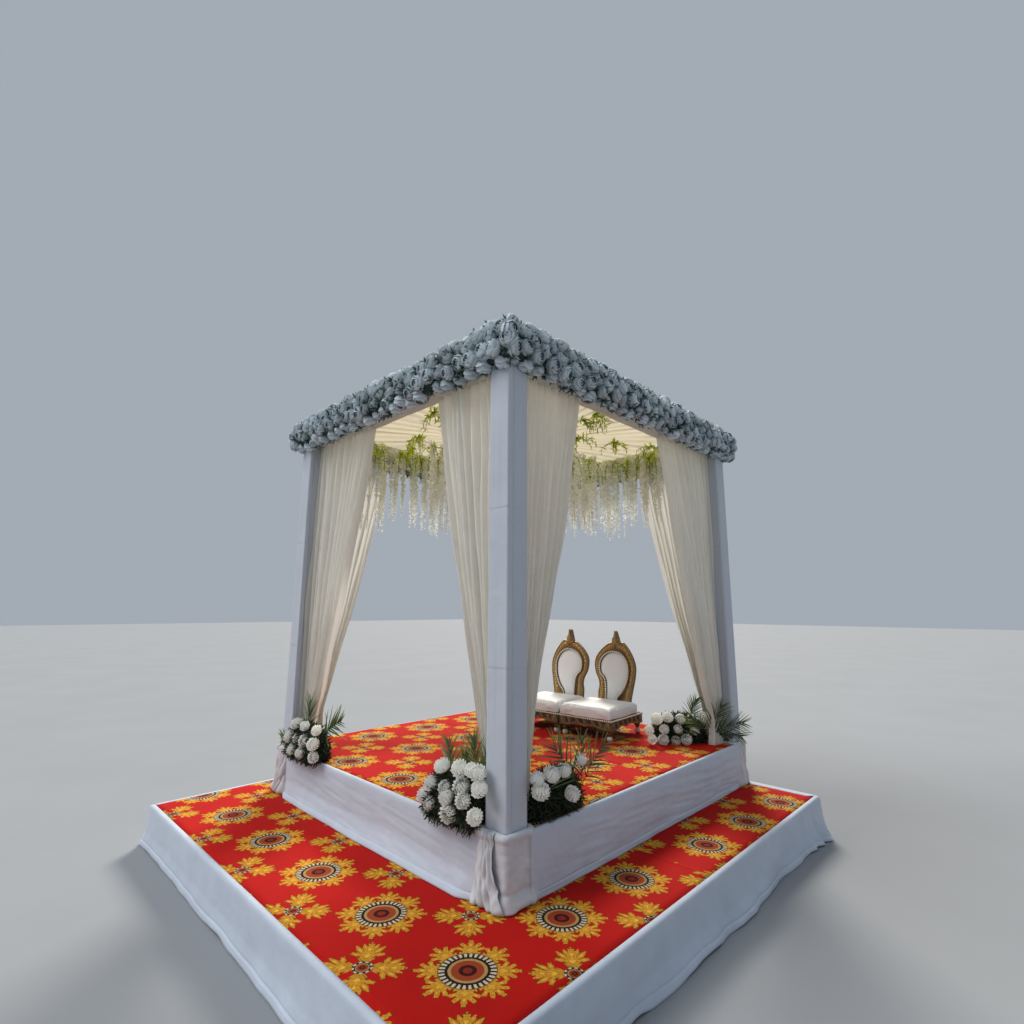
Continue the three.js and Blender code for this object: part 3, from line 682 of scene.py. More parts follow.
def painted_feet():
    # Turned wood in off-white gloss enamel, rubbed where it meets the carpet.
    return mottled("off-white enamel", [(0.3, "#8F8474"), (0.5, "#CFC8BA")], 14.3, roughness=0.35)[0]


def pearl_beads():
    # Moulded acrylic with a pearl lacquer: cream, smooth and softly bright.
    stops = [(0.35, "#E4D9BC"), (0.65, "#FFF9EA")]
    return mottled("pearl lacquer on acrylic", stops, 8.33, roughness=0.35, coat_weight=0.2)[0]


# Geometry Nodes


TREE_INPUTS = {
    "Collection": ("Pieces",), "Int": ("Seed",), "Material": ("Material",),
    "Float": ("Spacing", "Smallest", "Largest", "Lean", "Stem", "Tip"),
}


def start_tree(name):
    """A new tree with named inputs. Returns it, its add_node and its inputs."""
    tree = bpy.data.node_groups.new(name, "GeometryNodeTree")
    for way in ("INPUT", "OUTPUT"):
        tree.interface.new_socket("Geometry", in_out=way, socket_type="NodeSocketGeometry")
    for kind, labels in TREE_INPUTS.items():
        for label in labels:
            tree.interface.new_socket(label, in_out="INPUT", socket_type=f"NodeSocket{kind}")
    node = partial(add_node, tree)
    return tree, node, node("NodeGroupInput").outputs


def end_tree(node, given, made):
    """Ends a tree in real geometry with one material."""
    real = node("GeometryNodeRealizeInstances", [made])
    done = node("GeometryNodeSetMaterial", {"Geometry": real, "Material": given["Material"]})
    node("NodeGroupOutput", [done])


def add_instances(node, given, points, rotation, shrink=1.0):
    """Sets one of the pieces on each point, leaning and turned at random, with its own tint."""
    seed = given["Seed"]
    pieces = node("GeometryNodeCollectionInfo", [given["Pieces"], True, True])
    which = node("FunctionNodeRandomValue", {"Min": 0, "Max": 99, "Seed": seed}, data_type="INT")
    limits = {"Min": given["Smallest"], "Max": given["Largest"], "Seed": seed}
    grown = node("FunctionNodeRandomValue", limits)
    grown = node("Math.MULTIPLY", [grown, shrink])
    placed = node("GeometryNodeInstanceOnPoints", {
        "Points": points, "Instance": pieces, "Pick Instance": True, "Instance Index": which,
        "Rotation": rotation, "Scale": grown,
    })
    back = node("Math.MULTIPLY", [given["Lean"], -1.0])
    low = node("CombineXYZ", [back, back, 0.0])
    high = node("CombineXYZ", [given["Lean"], given["Lean"], 2 * pi])
    turn = node("FunctionNodeRandomValue", {"Min": low, "Max": high, "Seed": seed}, data_type="FLOAT_VECTOR")
    leant = node("GeometryNodeRotateInstances", {"Instances": placed, "Rotation": turn, "Local Space": True})
    shade = node("FunctionNodeRandomValue", {"Min": 0.0, "Max": 1.0, "Seed": seed})
    return node(
        "GeometryNodeStoreNamedAttribute", {"Geometry": leant, "Name": "tint", "Value": shade},
        domain="INSTANCE",
    )


def surface_tree():
    """Scatters pieces over a surface, at least the spacing apart."""
    tree, node, given = start_tree("Scatter on surface")
    room = node("Math.MULTIPLY", [given["Spacing"], given["Spacing"]])
    most = node("Math.DIVIDE", [6.0, room])
    points = node("GeometryNodeDistributePointsOnFaces", {
        "Mesh": given["Geometry"], "Distance Min": given["Spacing"], "Density Max": most,
        "Seed": given["Seed"],
    }, distribute_method="POISSON").outputs
    end_tree(node, given, add_instances(node, given, points["Points"], points["Rotation"]))
    return tree


def strand_tree():
    """Sets pieces along strands, smaller towards the end, on a thin stem."""
    tree, node, given = start_tree("Along strands")
    curve = node("GeometryNodeMeshToCurve", {"Mesh": given["Geometry"]})
    even = node("GeometryNodeResampleCurve", {"Curve": curve, "Length": given["Spacing"]}, mode="LENGTH")
    share = node("GeometryNodeSplineParameter").outputs["Factor"]
    shrink = node("MapRange", [share, 0.55, 1.0, 1.0, given["Tip"]])
    tangent = node("GeometryNodeInputTangent")
    rotation = node("FunctionNodeAlignRotationToVector", {"Vector": tangent}, axis="Z")
    made = add_instances(node, given, even, rotation, shrink)
    ring = node("GeometryNodeCurvePrimitiveCircle", {"Resolution": 3, "Radius": given["Stem"]}, mode="RADIUS")
    stem = node("GeometryNodeCurveToMesh", {"Curve": even, "Profile Curve": ring, "Fill Caps": True})
    both = node("GeometryNodeJoinGeometry", [made])
    tree.links.new(stem.outputs[0], both.inputs[0])
    end_tree(node, given, both)
    return tree


def grow(base, tree, material, slot, node, **values):
    """Runs a tree on an object, leaves its result as the object's plain mesh and makes a piece of it."""
    values["material"] = material
    modifier = base.modifiers.new("Grow", "NODES")
    modifier.node_group = tree
    for socket in tree.interface.items_tree:
        if socket.in_out == "INPUT" and socket.name.lower() in values:
            modifier[socket.identifier] = values[socket.name.lower()]
    bake(base)
    place_piece(base, material, slot, node)


def bake(piece):
    """Leaves a piece's evaluated shape as its plain mesh."""
    bpy.context.view_layer.update()
    made = bpy.data.meshes.new_from_object(piece.evaluated_get(bpy.context.evaluated_depsgraph_get()))
    piece.modifiers.clear()
    old = piece.data
    piece.data = made
    bpy.data.meshes.remove(old)
    made.name = piece.name


def parts_bin(name, shapes):
    """A collection of small shapes for a tree to pick from, outside the scene."""
    bin_ = bpy.data.collections.new(name)
    for number, shape in enumerate(shapes):
        bin_.objects.link(shape.make(f"{name}_{number}", linked=False))
    return bin_


def empty_bins(*bins):
    """Removes collections of small shapes."""
    for bin_ in bins:
        for item in list(bin_.objects):
            bpy.data.objects.remove(item)
        bpy.data.collections.remove(bin_)


def lines_object(name, lines):
    """An object with one chain of edges for each list of points."""
    points, edges = [], []
    for line in lines:
        edges += [(len(points) + i, len(points) + i + 1) for i in range(len(line) - 1)]
        points += [tuple(p) for p in line]
    mesh = bpy.data.meshes.new(name)
    mesh.from_pydata(points, edges, [])
    return add_object(name, mesh)


# Shapes of petals and leaves


# Flower heads, one unit across. Rings of petals, from the outermost: how many, radius, and the tilts where a
# petal starts and ends. broad is a petal's width, taper how far it narrows, flare how far its tip stands off
# and dark the tone of its root: painted shade deep in a garland rose, the chrysanthemum's own green heart.
ROSE = {"broad": 1.3, "taper": 0.34, "flare": 0.08, "columns": 4, "dark": 0.0, "rings": (
    (5, 0.49, -1.0, 0.30), (5, 0.46, -0.30, 0.78), (4, 0.41, 0.25, 1.12), (3, 0.32, 0.7, 1.4),
    (2, 0.26, 1.0, 1.65),
)}
MUM = {"broad": 1.0, "taper": 0.56, "flare": 0.30, "columns": 2, "dark": 0.4, "rings": (
    (14, 0.35, -1.0, -0.20), (15, 0.37, -0.65, 0.10), (15, 0.38, -0.3, 0.40), (14, 0.38, 0.05, 0.68),
    (12, 0.37, 0.35, 0.95), (9, 0.35, 0.65, 1.18), (6, 0.32, 0.95, 1.38), (3, 0.28, 1.15, 1.55),
)}
# Small parts round a point: how many leaves, length, width, lift, and how much the lift varies
SPRAY = {"leaves": 5, "length": 0.9, "width": 0.34, "rise": 0.9, "loose": 0.3}
FLORET = {"leaves": 4, "length": 0.5, "width": 0.40, "rise": 0.45, "loose": 0.6}
LEAFLET = {"leaves": 2, "length": 1.0, "width": 0.25, "rise": 0.45, "loose": 0.3}
FERN = {"leaves": 6, "length": 1.0, "width": 0.16, "rise": 0.75, "loose": 0.3}


def ball_head(rings, broad, taper, flare, columns, dark, seed):
    """A flower head whose petals hug a ball."""
    draw = np.random.default_rng(seed)
    shape = Shape()
    v, u = np.linspace(0, 1, 3)[:, None], np.linspace(-1, 1, columns)[None]
    for count, radius, low, high in rings:
        start = draw.uniform(0, 2 * pi)
        for i in range(count):
            middle = start + (2 * pi * i + draw.uniform(-0.5, 0.5)) / count
            angle = middle + u * pi / count * broad * np.sin(np.pi * (0.34 + taper * v))
            tilt = low + (high + draw.uniform(-0.06, 0.06) - low) * v * (1 - 0.16 * u ** 2)
            out = radius * (1 + flare * draw.uniform(0.6, 1.3) * v ** 2 + 0.035 * u)
            flat = out * np.cos(tilt)
            grid = grid_of(flat * np.cos(angle), flat * np.sin(angle), out * np.sin(tilt))
            # Painted shade: petals take the dark colour at their roots, deep in the head
            shape.add_grid(grid, dark + (1 - dark) * v)
    return shape


def leaf_sprig(leaves, length, width, rise, loose, seed):
    """Leaves or petals round a point, open towards +Z."""
    draw = np.random.default_rng(seed)
    shape = Shape()
    v, u = np.linspace(0, 1, 3)[:, None], np.array([[-1.0, 1.0]])
    half = width / 2 * np.sin(np.pi * (0.15 + 0.75 * v))
    for i in range(leaves):
        long = length * draw.uniform(0.75, 1.1)
        grid = grid_of(u * half, v * long, -0.2 * long * v ** 2)
        turn = Matrix.Rotation(2 * pi * i / leaves + draw.uniform(-0.3, 0.3), 3, "Z")
        lift = Matrix.Rotation(rise + draw.uniform(-loose, loose), 3, "X")
        shape.add_grid(grid @ np.array(turn @ lift).T, 0.3 + 0.7 * v)
    return shape


def tube_shape(points, radii, sides):
    """A tube along points, with a radius for each."""
    points = np.asarray(points, float)
    heading = unit(np.gradient(points, axis=0))
    side = np.cross(heading, (0.0, 0.0, 1.0))
    weak = np.linalg.norm(side, axis=1) < 0.1
    side[weak] = np.cross(heading[weak], (1.0, 0.0, 0.0))
    side = unit(side)
    up = np.cross(side, heading)
    angle = np.linspace(0, 2 * pi, sides, endpoint=False)
    ring = side[:, None] * np.cos(angle)[None, :, None] + up[:, None] * np.sin(angle)[None, :, None]
    return Shape().add_closed(points[:, None] + ring * np.asarray(radii)[:, None, None], 0.4, flip=True)


def lathe_shape(profile, sides, tone=0.6):
    """A turned shape round the Z axis from radius and height pairs."""
    angle = np.linspace(0, 2 * pi, sides, endpoint=False)
    radius, height = np.asarray(profile, float).T[:, :, None]
    return Shape().add_closed(grid_of(radius * np.cos(angle), radius * np.sin(angle), height), tone)


def palm_frond(length, bend, leaflets, seed):
    """A palm leaf that rises along Z and bends towards +X, with slender leaflets."""
    draw = np.random.default_rng(seed)
    share = np.linspace(0, 1, 7)
    steps = np.stack([np.sin(bend * share), 0 * share, np.cos(bend * share)], 1) * length / 6
    spine = np.concatenate([[[0, 0, 0]], np.cumsum(steps[:-1], 0)])
    shape = tube_shape(spine, np.linspace(0.0025, 0.0010, 7), 4)
    v, u = np.linspace(0, 1, 4)[:, None, None], np.array([-1.0, 1.0])[None, :, None]
    for i in range(leaflets):
        at = 0.12 + 0.88 * (i // 2 + 0.5) / (leaflets / 2)
        root = np.array([np.interp(at, share, spine[:, k]) for k in range(3)])
        long = length * 0.72 * sin(pi * (0.28 + 0.56 * at)) * draw.uniform(0.85, 1.1)
        angle = bend * at + (1 if i % 2 else -1) * (0.95 - 0.60 * at) + draw.uniform(-0.05, 0.05)
        twist = draw.uniform(-0.4, 0.9)
        sine, cosine = sin(angle), cos(angle)
        across = np.array([cosine * cos(twist), sin(twist), -sine * cos(twist)])
        ribbon = across * u * (0.0058 - 0.0050 * v ** 2)
        sag = np.array([0, draw.uniform(-0.2, 0.2), -0.15]) * long * v ** 2
        shape.add_grid(root + np.array([sine, 0, cosine]) * long * v + ribbon + sag, 0.3 + 0.7 * v[..., 0])
    return shape


# Operators


class PieceOperator:
    """What every operator of the mandap shares."""

    bl_options = {"REGISTER", "UNDO"}


# The photograph's viewing angle
CAMERA_PLACE = (3.1665, -3.2978, 1.6097)
CAMERA_TURNS = (("Z", 44.4228), ("X", 90 + 10.0184), ("Z", 0.2487))
CAMERA_LENS, CAMERA_SENSOR = 19.207, 36.0
# Lights: name, where it shines from, strength, softness in degrees, colour
SOFT_LIGHTS = (
    ("key", (-0.50, -0.62, 0.85), 2.1, 40, "#FFFDFA"),
    ("back", (-0.55, 0.70, 0.75), 3.6, 18, "#FFF6EA"),
    ("fill", (0.85, -0.35, 0.60), 0.05, 70, "#E4ECFF"),
)
SKY_COLOUR, SKY_STRENGTH = "#D5DFEC", 0.55
FLOOR_HALF = 60.0


class MANDAP_OT_stage(PieceOperator, Operator):
    """Floor, soft lights and the camera"""

    bl_idname = "mandap.stage"
    bl_label = "Stage"

    def execute(self, context):
        scene = context.scene
        scene.view_settings.view_transform = "Standard"
        data = bpy.data.cameras.new("camera")
        set_values(data, lens=CAMERA_LENS, sensor_width=CAMERA_SENSOR, clip_start=0.05, clip_end=200)
        turn = Matrix.Identity(4)
        for axis, degrees in CAMERA_TURNS:
            turn = turn @ turned(degrees, axis)
        camera = add_object("camera", data)
        scene.camera = set_values(camera, location=CAMERA_PLACE, rotation_euler=turn.to_euler())
        self.make_floor()
        self.make_lights(scene)
        return {"FINISHED"}

    @staticmethod
    def make_floor():
        ends = np.array([-1.0, 1.0]) * FLOOR_HALF
        floor = Shape().add_grid(grid_of(ends[None], ends[:, None], 0.0)).make("studio_floor")
        # Matt vinyl studio floor
        vinyl = mottled("matt vinyl", [(0.2, "#868A8E"), (0.8, "#8C9094")], 1250, roughness=0.9)[0]
        floor.data.materials.append(vinyl)

    @staticmethod
    def make_lights(scene):
        scene.world = world = bpy.data.worlds.new("studio")
        world.use_nodes = True
        sky = world.node_tree.nodes["Background"]
        sky.inputs["Color"].default_value = rgba(SKY_COLOUR)
        sky.inputs["Strength"].default_value = SKY_STRENGTH
        for name, way, power, spread, code in SOFT_LIGHTS:
            data = bpy.data.lights.new(name, "SUN")
            set_values(data, energy=power, angle=radians(spread), color=linear(code))
            add_object(name, data).rotation_euler = Vector(way).to_track_quat("Z", "Y").to_euler()


class MANDAP_OT_decks(PieceOperator, Operator):
    """Plywood decks and the printed carpets on them"""

    bl_idname = "mandap.decks"
    bl_label = "Decks and carpets"

    step = 0.045
    waves = 0.0022
    seam_rise = 0.0055
    seam_marks = (-26, -14, -6, 0, 6, 14, 26)

    def execute(self, context):
        cloth = context.scene.mandap_cloth
        board = deck_board()
        for number, (level, print_place) in enumerate(PRINTS.items()):
            deck_finish = frame["nodes"][f"{level}_deck"].data.materials
            deck_finish.clear()
            deck_finish.append(board)
            material = carpet_print(f"printed felt, {level}", cloth, print_place)
            self.make_carpet(level, material, print_place["seam"], 11 + number)
        return {"FINISHED"}

    def make_carpet(self, level, material, seam, seed):
        """A carpet laid on a deck, with low waves and a wrinkle along its seam."""
        node = f"{level}_carpet"
        low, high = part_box(node)
        notch_x, notch_y = (half - WRAP_SIDE / 2 for half in HALF_BAYS)
        lines = []
        for start, end, marks in (
            (low.x, high.x, [-notch_x, notch_x]),
            (low.y, high.y, [-notch_y, notch_y, *(seam + MM * d for d in self.seam_marks)]),
        ):
            even = np.linspace(start, end, round((end - start) / self.step))
            lines.append(np.unique(np.concatenate([even, marks])))
        x, y = np.meshgrid(*lines)
        rise = noise2(x * 2.1 + 0.6 * y, y * 1.3, seed) + 0.6 * noise2(x * 5, y * 4, seed + 1)
        wrinkle = ridge(y, seam, 0.012) * smooth_step(-0.6, 0.3, noise2(x * 3.1, 0.0, seed + 2))
        z = high.z + self.waves * np.clip(rise - 0.25, 0, 1) + self.seam_rise * wrinkle
        keep, area = None, (high.x - low.x) * (high.y - low.y)
        if level == "upper":
            middle_x, middle_y = (x[:-1, :-1] + x[1:, 1:]) / 2, (y[:-1, :-1] + y[1:, 1:]) / 2
            keep = ~((abs(middle_x) > notch_x) & (abs(middle_y) > notch_y))
            area -= 4 * (high.x - notch_x) * (high.y - notch_y)
        cloth_piece(f"{node}_felt", grid_of(x, y, z), material, "carpet", node, "laid", [f"{level}_deck"],
                    high.z - low.z, grid_of(x, y), (high.x - low.x, high.y - low.y), area, keep=keep)


# Lower skirts: lip on the deck, how far the foot stands out, depth and width of the folds
LOWER_SKIRTS = {
    "front": (0.020, 0.030, 0.010, 0.42), "right": (0.020, 0.034, 0.026, 0.44),
    "back": (0.060, 0.026, 0.016, 0.40), "left": (0.030, 0.026, 0.014, 0.45),
}
# Upper skirts: lip, foot, height of the crease above the flared hem, depth of the drag lines
UPPER_SKIRTS = {
    "front": (0.012, 0.062, 0.30, 0.0022), "right": (0.012, 0.018, 0.12, 0.0042),
    "back": (0.012, 0.016, 0.12, 0.0026), "left": (0.012, 0.034, 0.22, 0.0022),
}


class MANDAP_OT_skirts(PieceOperator, Operator):
    """White cloth skirts round both decks"""

    bl_idname = "mandap.skirts"
    bl_label = "Deck skirts"

    rows = 26
    step = 0.022
    hem = 0.028
    hem_fold = 0.0030
    tucked = 0.050

    def execute(self, context):
        cloth = context.scene.mandap_cloth
        material = cloth_material(cloth, "skirt")
        for level, forms, draw_grid, seed in (
            ("lower", LOWER_SKIRTS, self.lower_grid, 20), ("upper", UPPER_SKIRTS, self.upper_grid, 30),
        ):
            for number, (side, form) in enumerate(forms.items()):
                low, high = DECKS[level]
                length = high[axis_of(side)] - low[axis_of(side)]
                grid = draw_grid(side, length, form, seed + number)
                node = f"{level}_skirt_{side}"
                cloth_piece(f"{node}_cloth", grid, material, "skirt_cloth", node, "draped", [f"{level}_deck"],
                            cloth.thickness, flip=True)
        return {"FINISHED"}

    def path_down(self, line, rows):
        """The skirt's section, its share of the way down, and the hem's doubled edge."""
        hem = self.hem
        path, down = resampled(line, rows, extra=(hem + 0.010, hem + 0.005, hem + 0.001, hem - 0.002, 0.010))
        fold = smooth_step(down[-1] - hem - 0.001, down[-1] - hem + 0.002, down)
        groove = ridge(down, down[-1] - hem - 0.005, 0.004)
        return path, (down / down[-1])[:, None], self.hem_fold * (fold - groove)[:, None]

    def lower_grid(self, side, length, form, seed):
        """Over the deck's edge, down and out a little at the ground, with broad slack folds."""
        lip, foot, depth, wide = form
        top = LOWER_FLOOR
        path, fall, hem = self.path_down([
            (-lip, top), (-0.005, top + 0.001), (0.004, top - 0.002), (0.008, top - 0.009),
            (0.010, top - 0.030), (foot * 0.45, top * 0.35), (foot, 0.0025),
        ], self.rows)
        share = np.linspace(-1, 1, round(length / self.step))[None]
        run = share * length / 2
        loose = smooth_step(0.15, 1.0, fall)
        end = np.minimum(1 - share, 1 + share) * length / 2
        ends = smooth_step(0.0, 0.16, end)
        wave = noise2(run / wide + 1.2 * fall, 0.7 * fall + 3.3, seed)
        wave += 0.45 * noise2(run / (wide * 0.3) + 0.8 * fall, 1.5 * fall + 9.1, seed + 50)
        bunch = self.corner_bunch(side, share, end, run)
        out = path[:, :1] + loose * (depth * (0.5 + wave) * ends + bunch)
        out = out * ends + (path[:, :1] + loose * 0.008) * (1 - ends)
        out = np.where(fall > 0.14, np.maximum(out, 0.004), out) + hem
        lift = np.clip(noise2(run / 0.13, fall, seed + 90), 0, 1) * smooth_step(0.85, 1.0, fall)
        return along_side(side, DECKS["lower"], out, path[:, 1:] + 0.011 * loose * lift, share)

    @staticmethod
    def corner_bunch(side, share, end, run):
        """Extra folds of spare cloth, beside the corner at the right and the back."""
        if side not in ("right", "back"):
            return 0.0
        nearby = (share > 0) if side == "right" else (share < 0)
        return nearby * (1 - smooth_step(0.05, 0.55, end)) * 0.030 * (0.6 + np.sin(run * 2 * pi / 0.11))

    def upper_grid(self, side, length, form, seed):
        """Pulled down from the deck's edge to a crease, then out to the hem. Its ends run in behind the base
        wraps."""
        lip, foot, share_up, pull = form
        top, ground = UPPER_FLOOR, LOWER_FLOOR
        crease = ground + (top - ground) * share_up
        path, fall, hem = self.path_down([
            (-lip, top), (-0.003, top + 0.001), (0.005, top - 0.002), (0.009, top - 0.009),
            (0.011, top - 0.025), (0.013, crease + 0.015), (0.016, crease),
            (foot * 0.5 + 0.004, ground + (crease - ground) * 0.45), (foot, ground + 0.003),
        ], self.rows + 6)
        corner = WRAP_SIDE / 2 + DECKS["upper"][1].x - HALF_BAYS[0] - self.tucked
        length -= 2 * corner
        share = np.linspace(-1, 1, round(length / (self.step * 0.7)))[None]
        run = share * length / 2
        end = length / 2 - abs(run)
        height = path[:, 1:]
        free = smooth_step(0.10, 0.35, fall) * (1 - 0.6 * smooth_step(0.88, 1.0, fall))
        calm = smooth_step(-0.98, -0.55, share) * 0.8 + 0.2
        drag = 1 - 2 * abs(noise2(run / 0.34 - height * 2.4, height / 0.021 + run / 0.28, seed))
        drag += 0.5 * noise2(run / 0.16, height / 0.016 + run / 0.15, seed + 40)
        drag = pull * drag + 0.003 * noise2(run / 0.45, height / 0.25, seed + 70)
        out = path[:, :1] + free * calm * drag
        out += 0.012 * noise2(run / 0.30, 0.5, seed + 80) * smooth_step(0.75, 1.0, fall) * (foot / 0.05)
        flare = np.clip(out - 0.012, 0, None) * (1 - smooth_step(0.02, 0.15, end))
        out = np.where(fall > 0.12, np.maximum(out - 0.8 * flare + hem, 0.003), out)
        return along_side(side, DECKS["upper"], out, height, share, mitre=0.0, shorten=corner)


# Heights of the sewn seams across the column covers
SEAM_HEIGHTS = (1.32, 2.13)


def rounded_square(side, radius, places):
    """Points at distances round a square with round corners, from the right end of its front face, and the
    ways out."""
    half = side / 2 - radius
    points = []
    for quarter, (x, y) in enumerate([(half, -half), (half, half), (-half, half), (-half, -half)]):
        for step in range(7):
            angle = radians(-90 + 90 * quarter + 15 * step)
            way = (cos(angle), sin(angle))
            points.append((x + radius * way[0], y + radius * way[1], *way))
    closed = np.array([*points, points[0]])
    along = distances(closed[:, :2])
    found = np.stack([np.interp(places % along[-1], along, closed[:, k]) for k in range(4)], -1)
    return found[..., :2], unit(found[..., 2:])


class MANDAP_OT_columns(PieceOperator, Operator):
    """Columns in stretch cloth and the cloth wraps round their feet"""

    bl_idname = "mandap.columns"
    bl_label = "Columns and base wraps"

    def execute(self, context):
        cloth = context.scene.mandap_cloth
        tight, bunched = cloth_material(cloth, "column"), cloth_material(cloth, "wrap")
        for number, (corner, signs) in enumerate(CORNERS.items()):
            centre = np.array(signs) * HALF_BAYS
            node = f"column_{corner}"
            cloth_piece(f"{node}_cover", self.column_grid(centre, 40 + number), tight, "column_cloth", node,
                        "stretched", ["lower_deck"], cloth.thickness)
            grid, tone = self.wrap_grid(signs, corner == "front_right", 60 + number)
            node = f"base_wrap_{corner}"
            cloth_piece(f"{node}_cloth", grid, bunched, "wrap_cloth", node, "gathered",
                        [f"column_{corner}_cover", "lower_carpet_felt"], cloth.thickness, value=tone,
                        flip=signs[0] * signs[1] < 0)
        return {"FINISHED"}

    @staticmethod
    def column_grid(centre, seed):
        """Tight cloth round a square column. Its edge laps over beside a corner."""
        side, radius, lap, start = COLUMN_SIDE - 2 * MM, 0.006, 0.022, 0.035
        around = 4 * (side - 2 * radius) + 2 * pi * radius
        along = np.linspace(0, around, 74)
        points, way = rounded_square(side, radius, start + along)
        low, high = COLUMN_LOW.z, BEAM_UNDERSIDE
        seams = [z + d for z in SEAM_HEIGHTS for d in (-0.012, -0.0015, 0.0015, 0.004)]
        height = np.unique(np.concatenate([np.linspace(low, high, 58), seams]))[:, None]
        reach = 0.0010 + 0.0012 * noise2(along[None] / 0.09, height / 0.5, seed)
        reach = reach + 0.0014 * noise2(along[None] / 0.022, height / 0.6, seed + 30)
        reach += 0.0025 * np.exp((height - high) / 0.07) * np.sin(along[None] * 2 * pi / 0.045)
        for seam in SEAM_HEIGHTS:
            raised = smooth_step(seam - 0.0015, seam + 0.0015, height)
            reach += 0.0010 * raised * np.exp(-np.clip(height - seam, 0, None) / 0.03)
            reach -= 0.0008 * ridge(height, seam - 0.002, 0.004)
        reach += 0.0030 * smooth_step(around - lap, around - lap + 0.004, along)[None]
        xy = centre + points[None] + way[None] * reach[..., None]
        return grid_of(xy[..., 0], xy[..., 1], height)

    @staticmethod
    def wrap_grid(signs, smooth, seed):
        """Cloth wound round the foot in folds, with a smooth panel first where smooth is true. Its end hangs
        twisted over its start."""
        side, radius, fold_pitch = WRAP_SIDE - 8 * MM, 0.030, 0.040
        around = 4 * (side - 2 * radius) + 2 * pi * radius
        ground, top = LOWER_FLOOR, UPPER_FLOOR
        path, down = resampled([
            (-0.030, top - 0.014), (-0.027, top + 0.003), (-0.016, top + 0.012), (-0.002, top + 0.010),
            (0.006, top), (0.005, top - 0.014), (-0.001, top - 0.030), (0.0, top - 0.12),
            (0.001, ground + 0.09), (0.005, ground + 0.05), (0.010, ground + 0.02), (0.006, ground + 0.004),
            (-0.010, ground + 0.002),
        ], 44)
        fall = (down / down[-1])[:, None]
        start, end = -0.090, around - 0.045 + 0.065 * smooth_step(0.35, 1.0, fall)
        along = start + (end - start) * np.linspace(0, 1, 230)
        points, way = rounded_square(side, radius, along)
        body = smooth_step(0.02, 0.16, fall) * (1 - smooth_step(0.95, 1.0, fall))
        panel = (1 - smooth_step(side - 0.03, side + 0.01, along)) * smooth
        bunch = smooth_step(around - side - 0.02, around - side + 0.05, along)
        sway = 2.6 * noise2(along / 0.07, fall * 1.1, seed) + 1.4 * noise2(along / 0.10, fall * 3.1, seed + 5)
        ropes = abs(np.sin(np.pi * (along / fold_pitch - 2.6 * bunch * fall) + sway)) ** 0.8
        depth = 0.7 + 0.5 * noise2(along / 0.04, fall * 2, seed + 10)
        depth *= (0.007 + 0.007 * fall) * (1 + 0.6 * bunch)
        rumple = 0.007 * noise2(along / 0.025 + 4 * fall, fall * 8, seed + 15)
        reach = path[:, :1] + 0.004 * bunch + body * (1 - 0.96 * panel) * (depth * ropes + rumple)
        reach += body * bunch * (0.006 + 0.012 * smooth_step(0.20, 0.8, fall))
        reach += body * (1 - bunch) * (1 - panel) * 0.014 * smooth_step(0.6, 1.0, fall)
        reach -= 0.007 * body * smooth_step(end - 0.014, end, along)
        crease = 0.014 * smooth_step(0.79, 0.90, fall) - 0.007 * ridge(fall, 0.78, 0.025)
        crease = crease + 0.0030 * noise2(along / 0.06 + 2 * fall, fall / 0.10, seed + 20)
        crease = crease + 0.006 * noise2(along / 0.04, fall / 0.05, seed + 25) * fall
        reach += body * panel * (crease + 0.012 * ridge(along, 0.182, 0.014))
        local = points + way * reach[..., None]
        xy = np.array(signs) * HALF_BAYS + local * (signs[0], -signs[1])
        grid = grid_of(xy[..., 0], xy[..., 1], path[:, 1:])
        # The tone is painted shade in the grooves between the folds; the smooth panel gets none
        return grid, np.clip(1 - 1.6 * ropes, 0, 1) * body * (1 - panel)


CEILING_SAG = 0.040


def ceiling_underside(x, y):
    """Height of the ceiling cloth's underside, flat on the beams and sagging between them."""
    dip_x, dip_y = (
        np.cos(np.pi / 2 * np.clip(np.abs(place) / (half - COLUMN_SIDE / 2), 0, 1))
        for place, half in zip((x, y), HALF_BAYS)
    )
    return BEAM_TOP + 0.3 * MM - CEILING_SAG * dip_x * dip_y


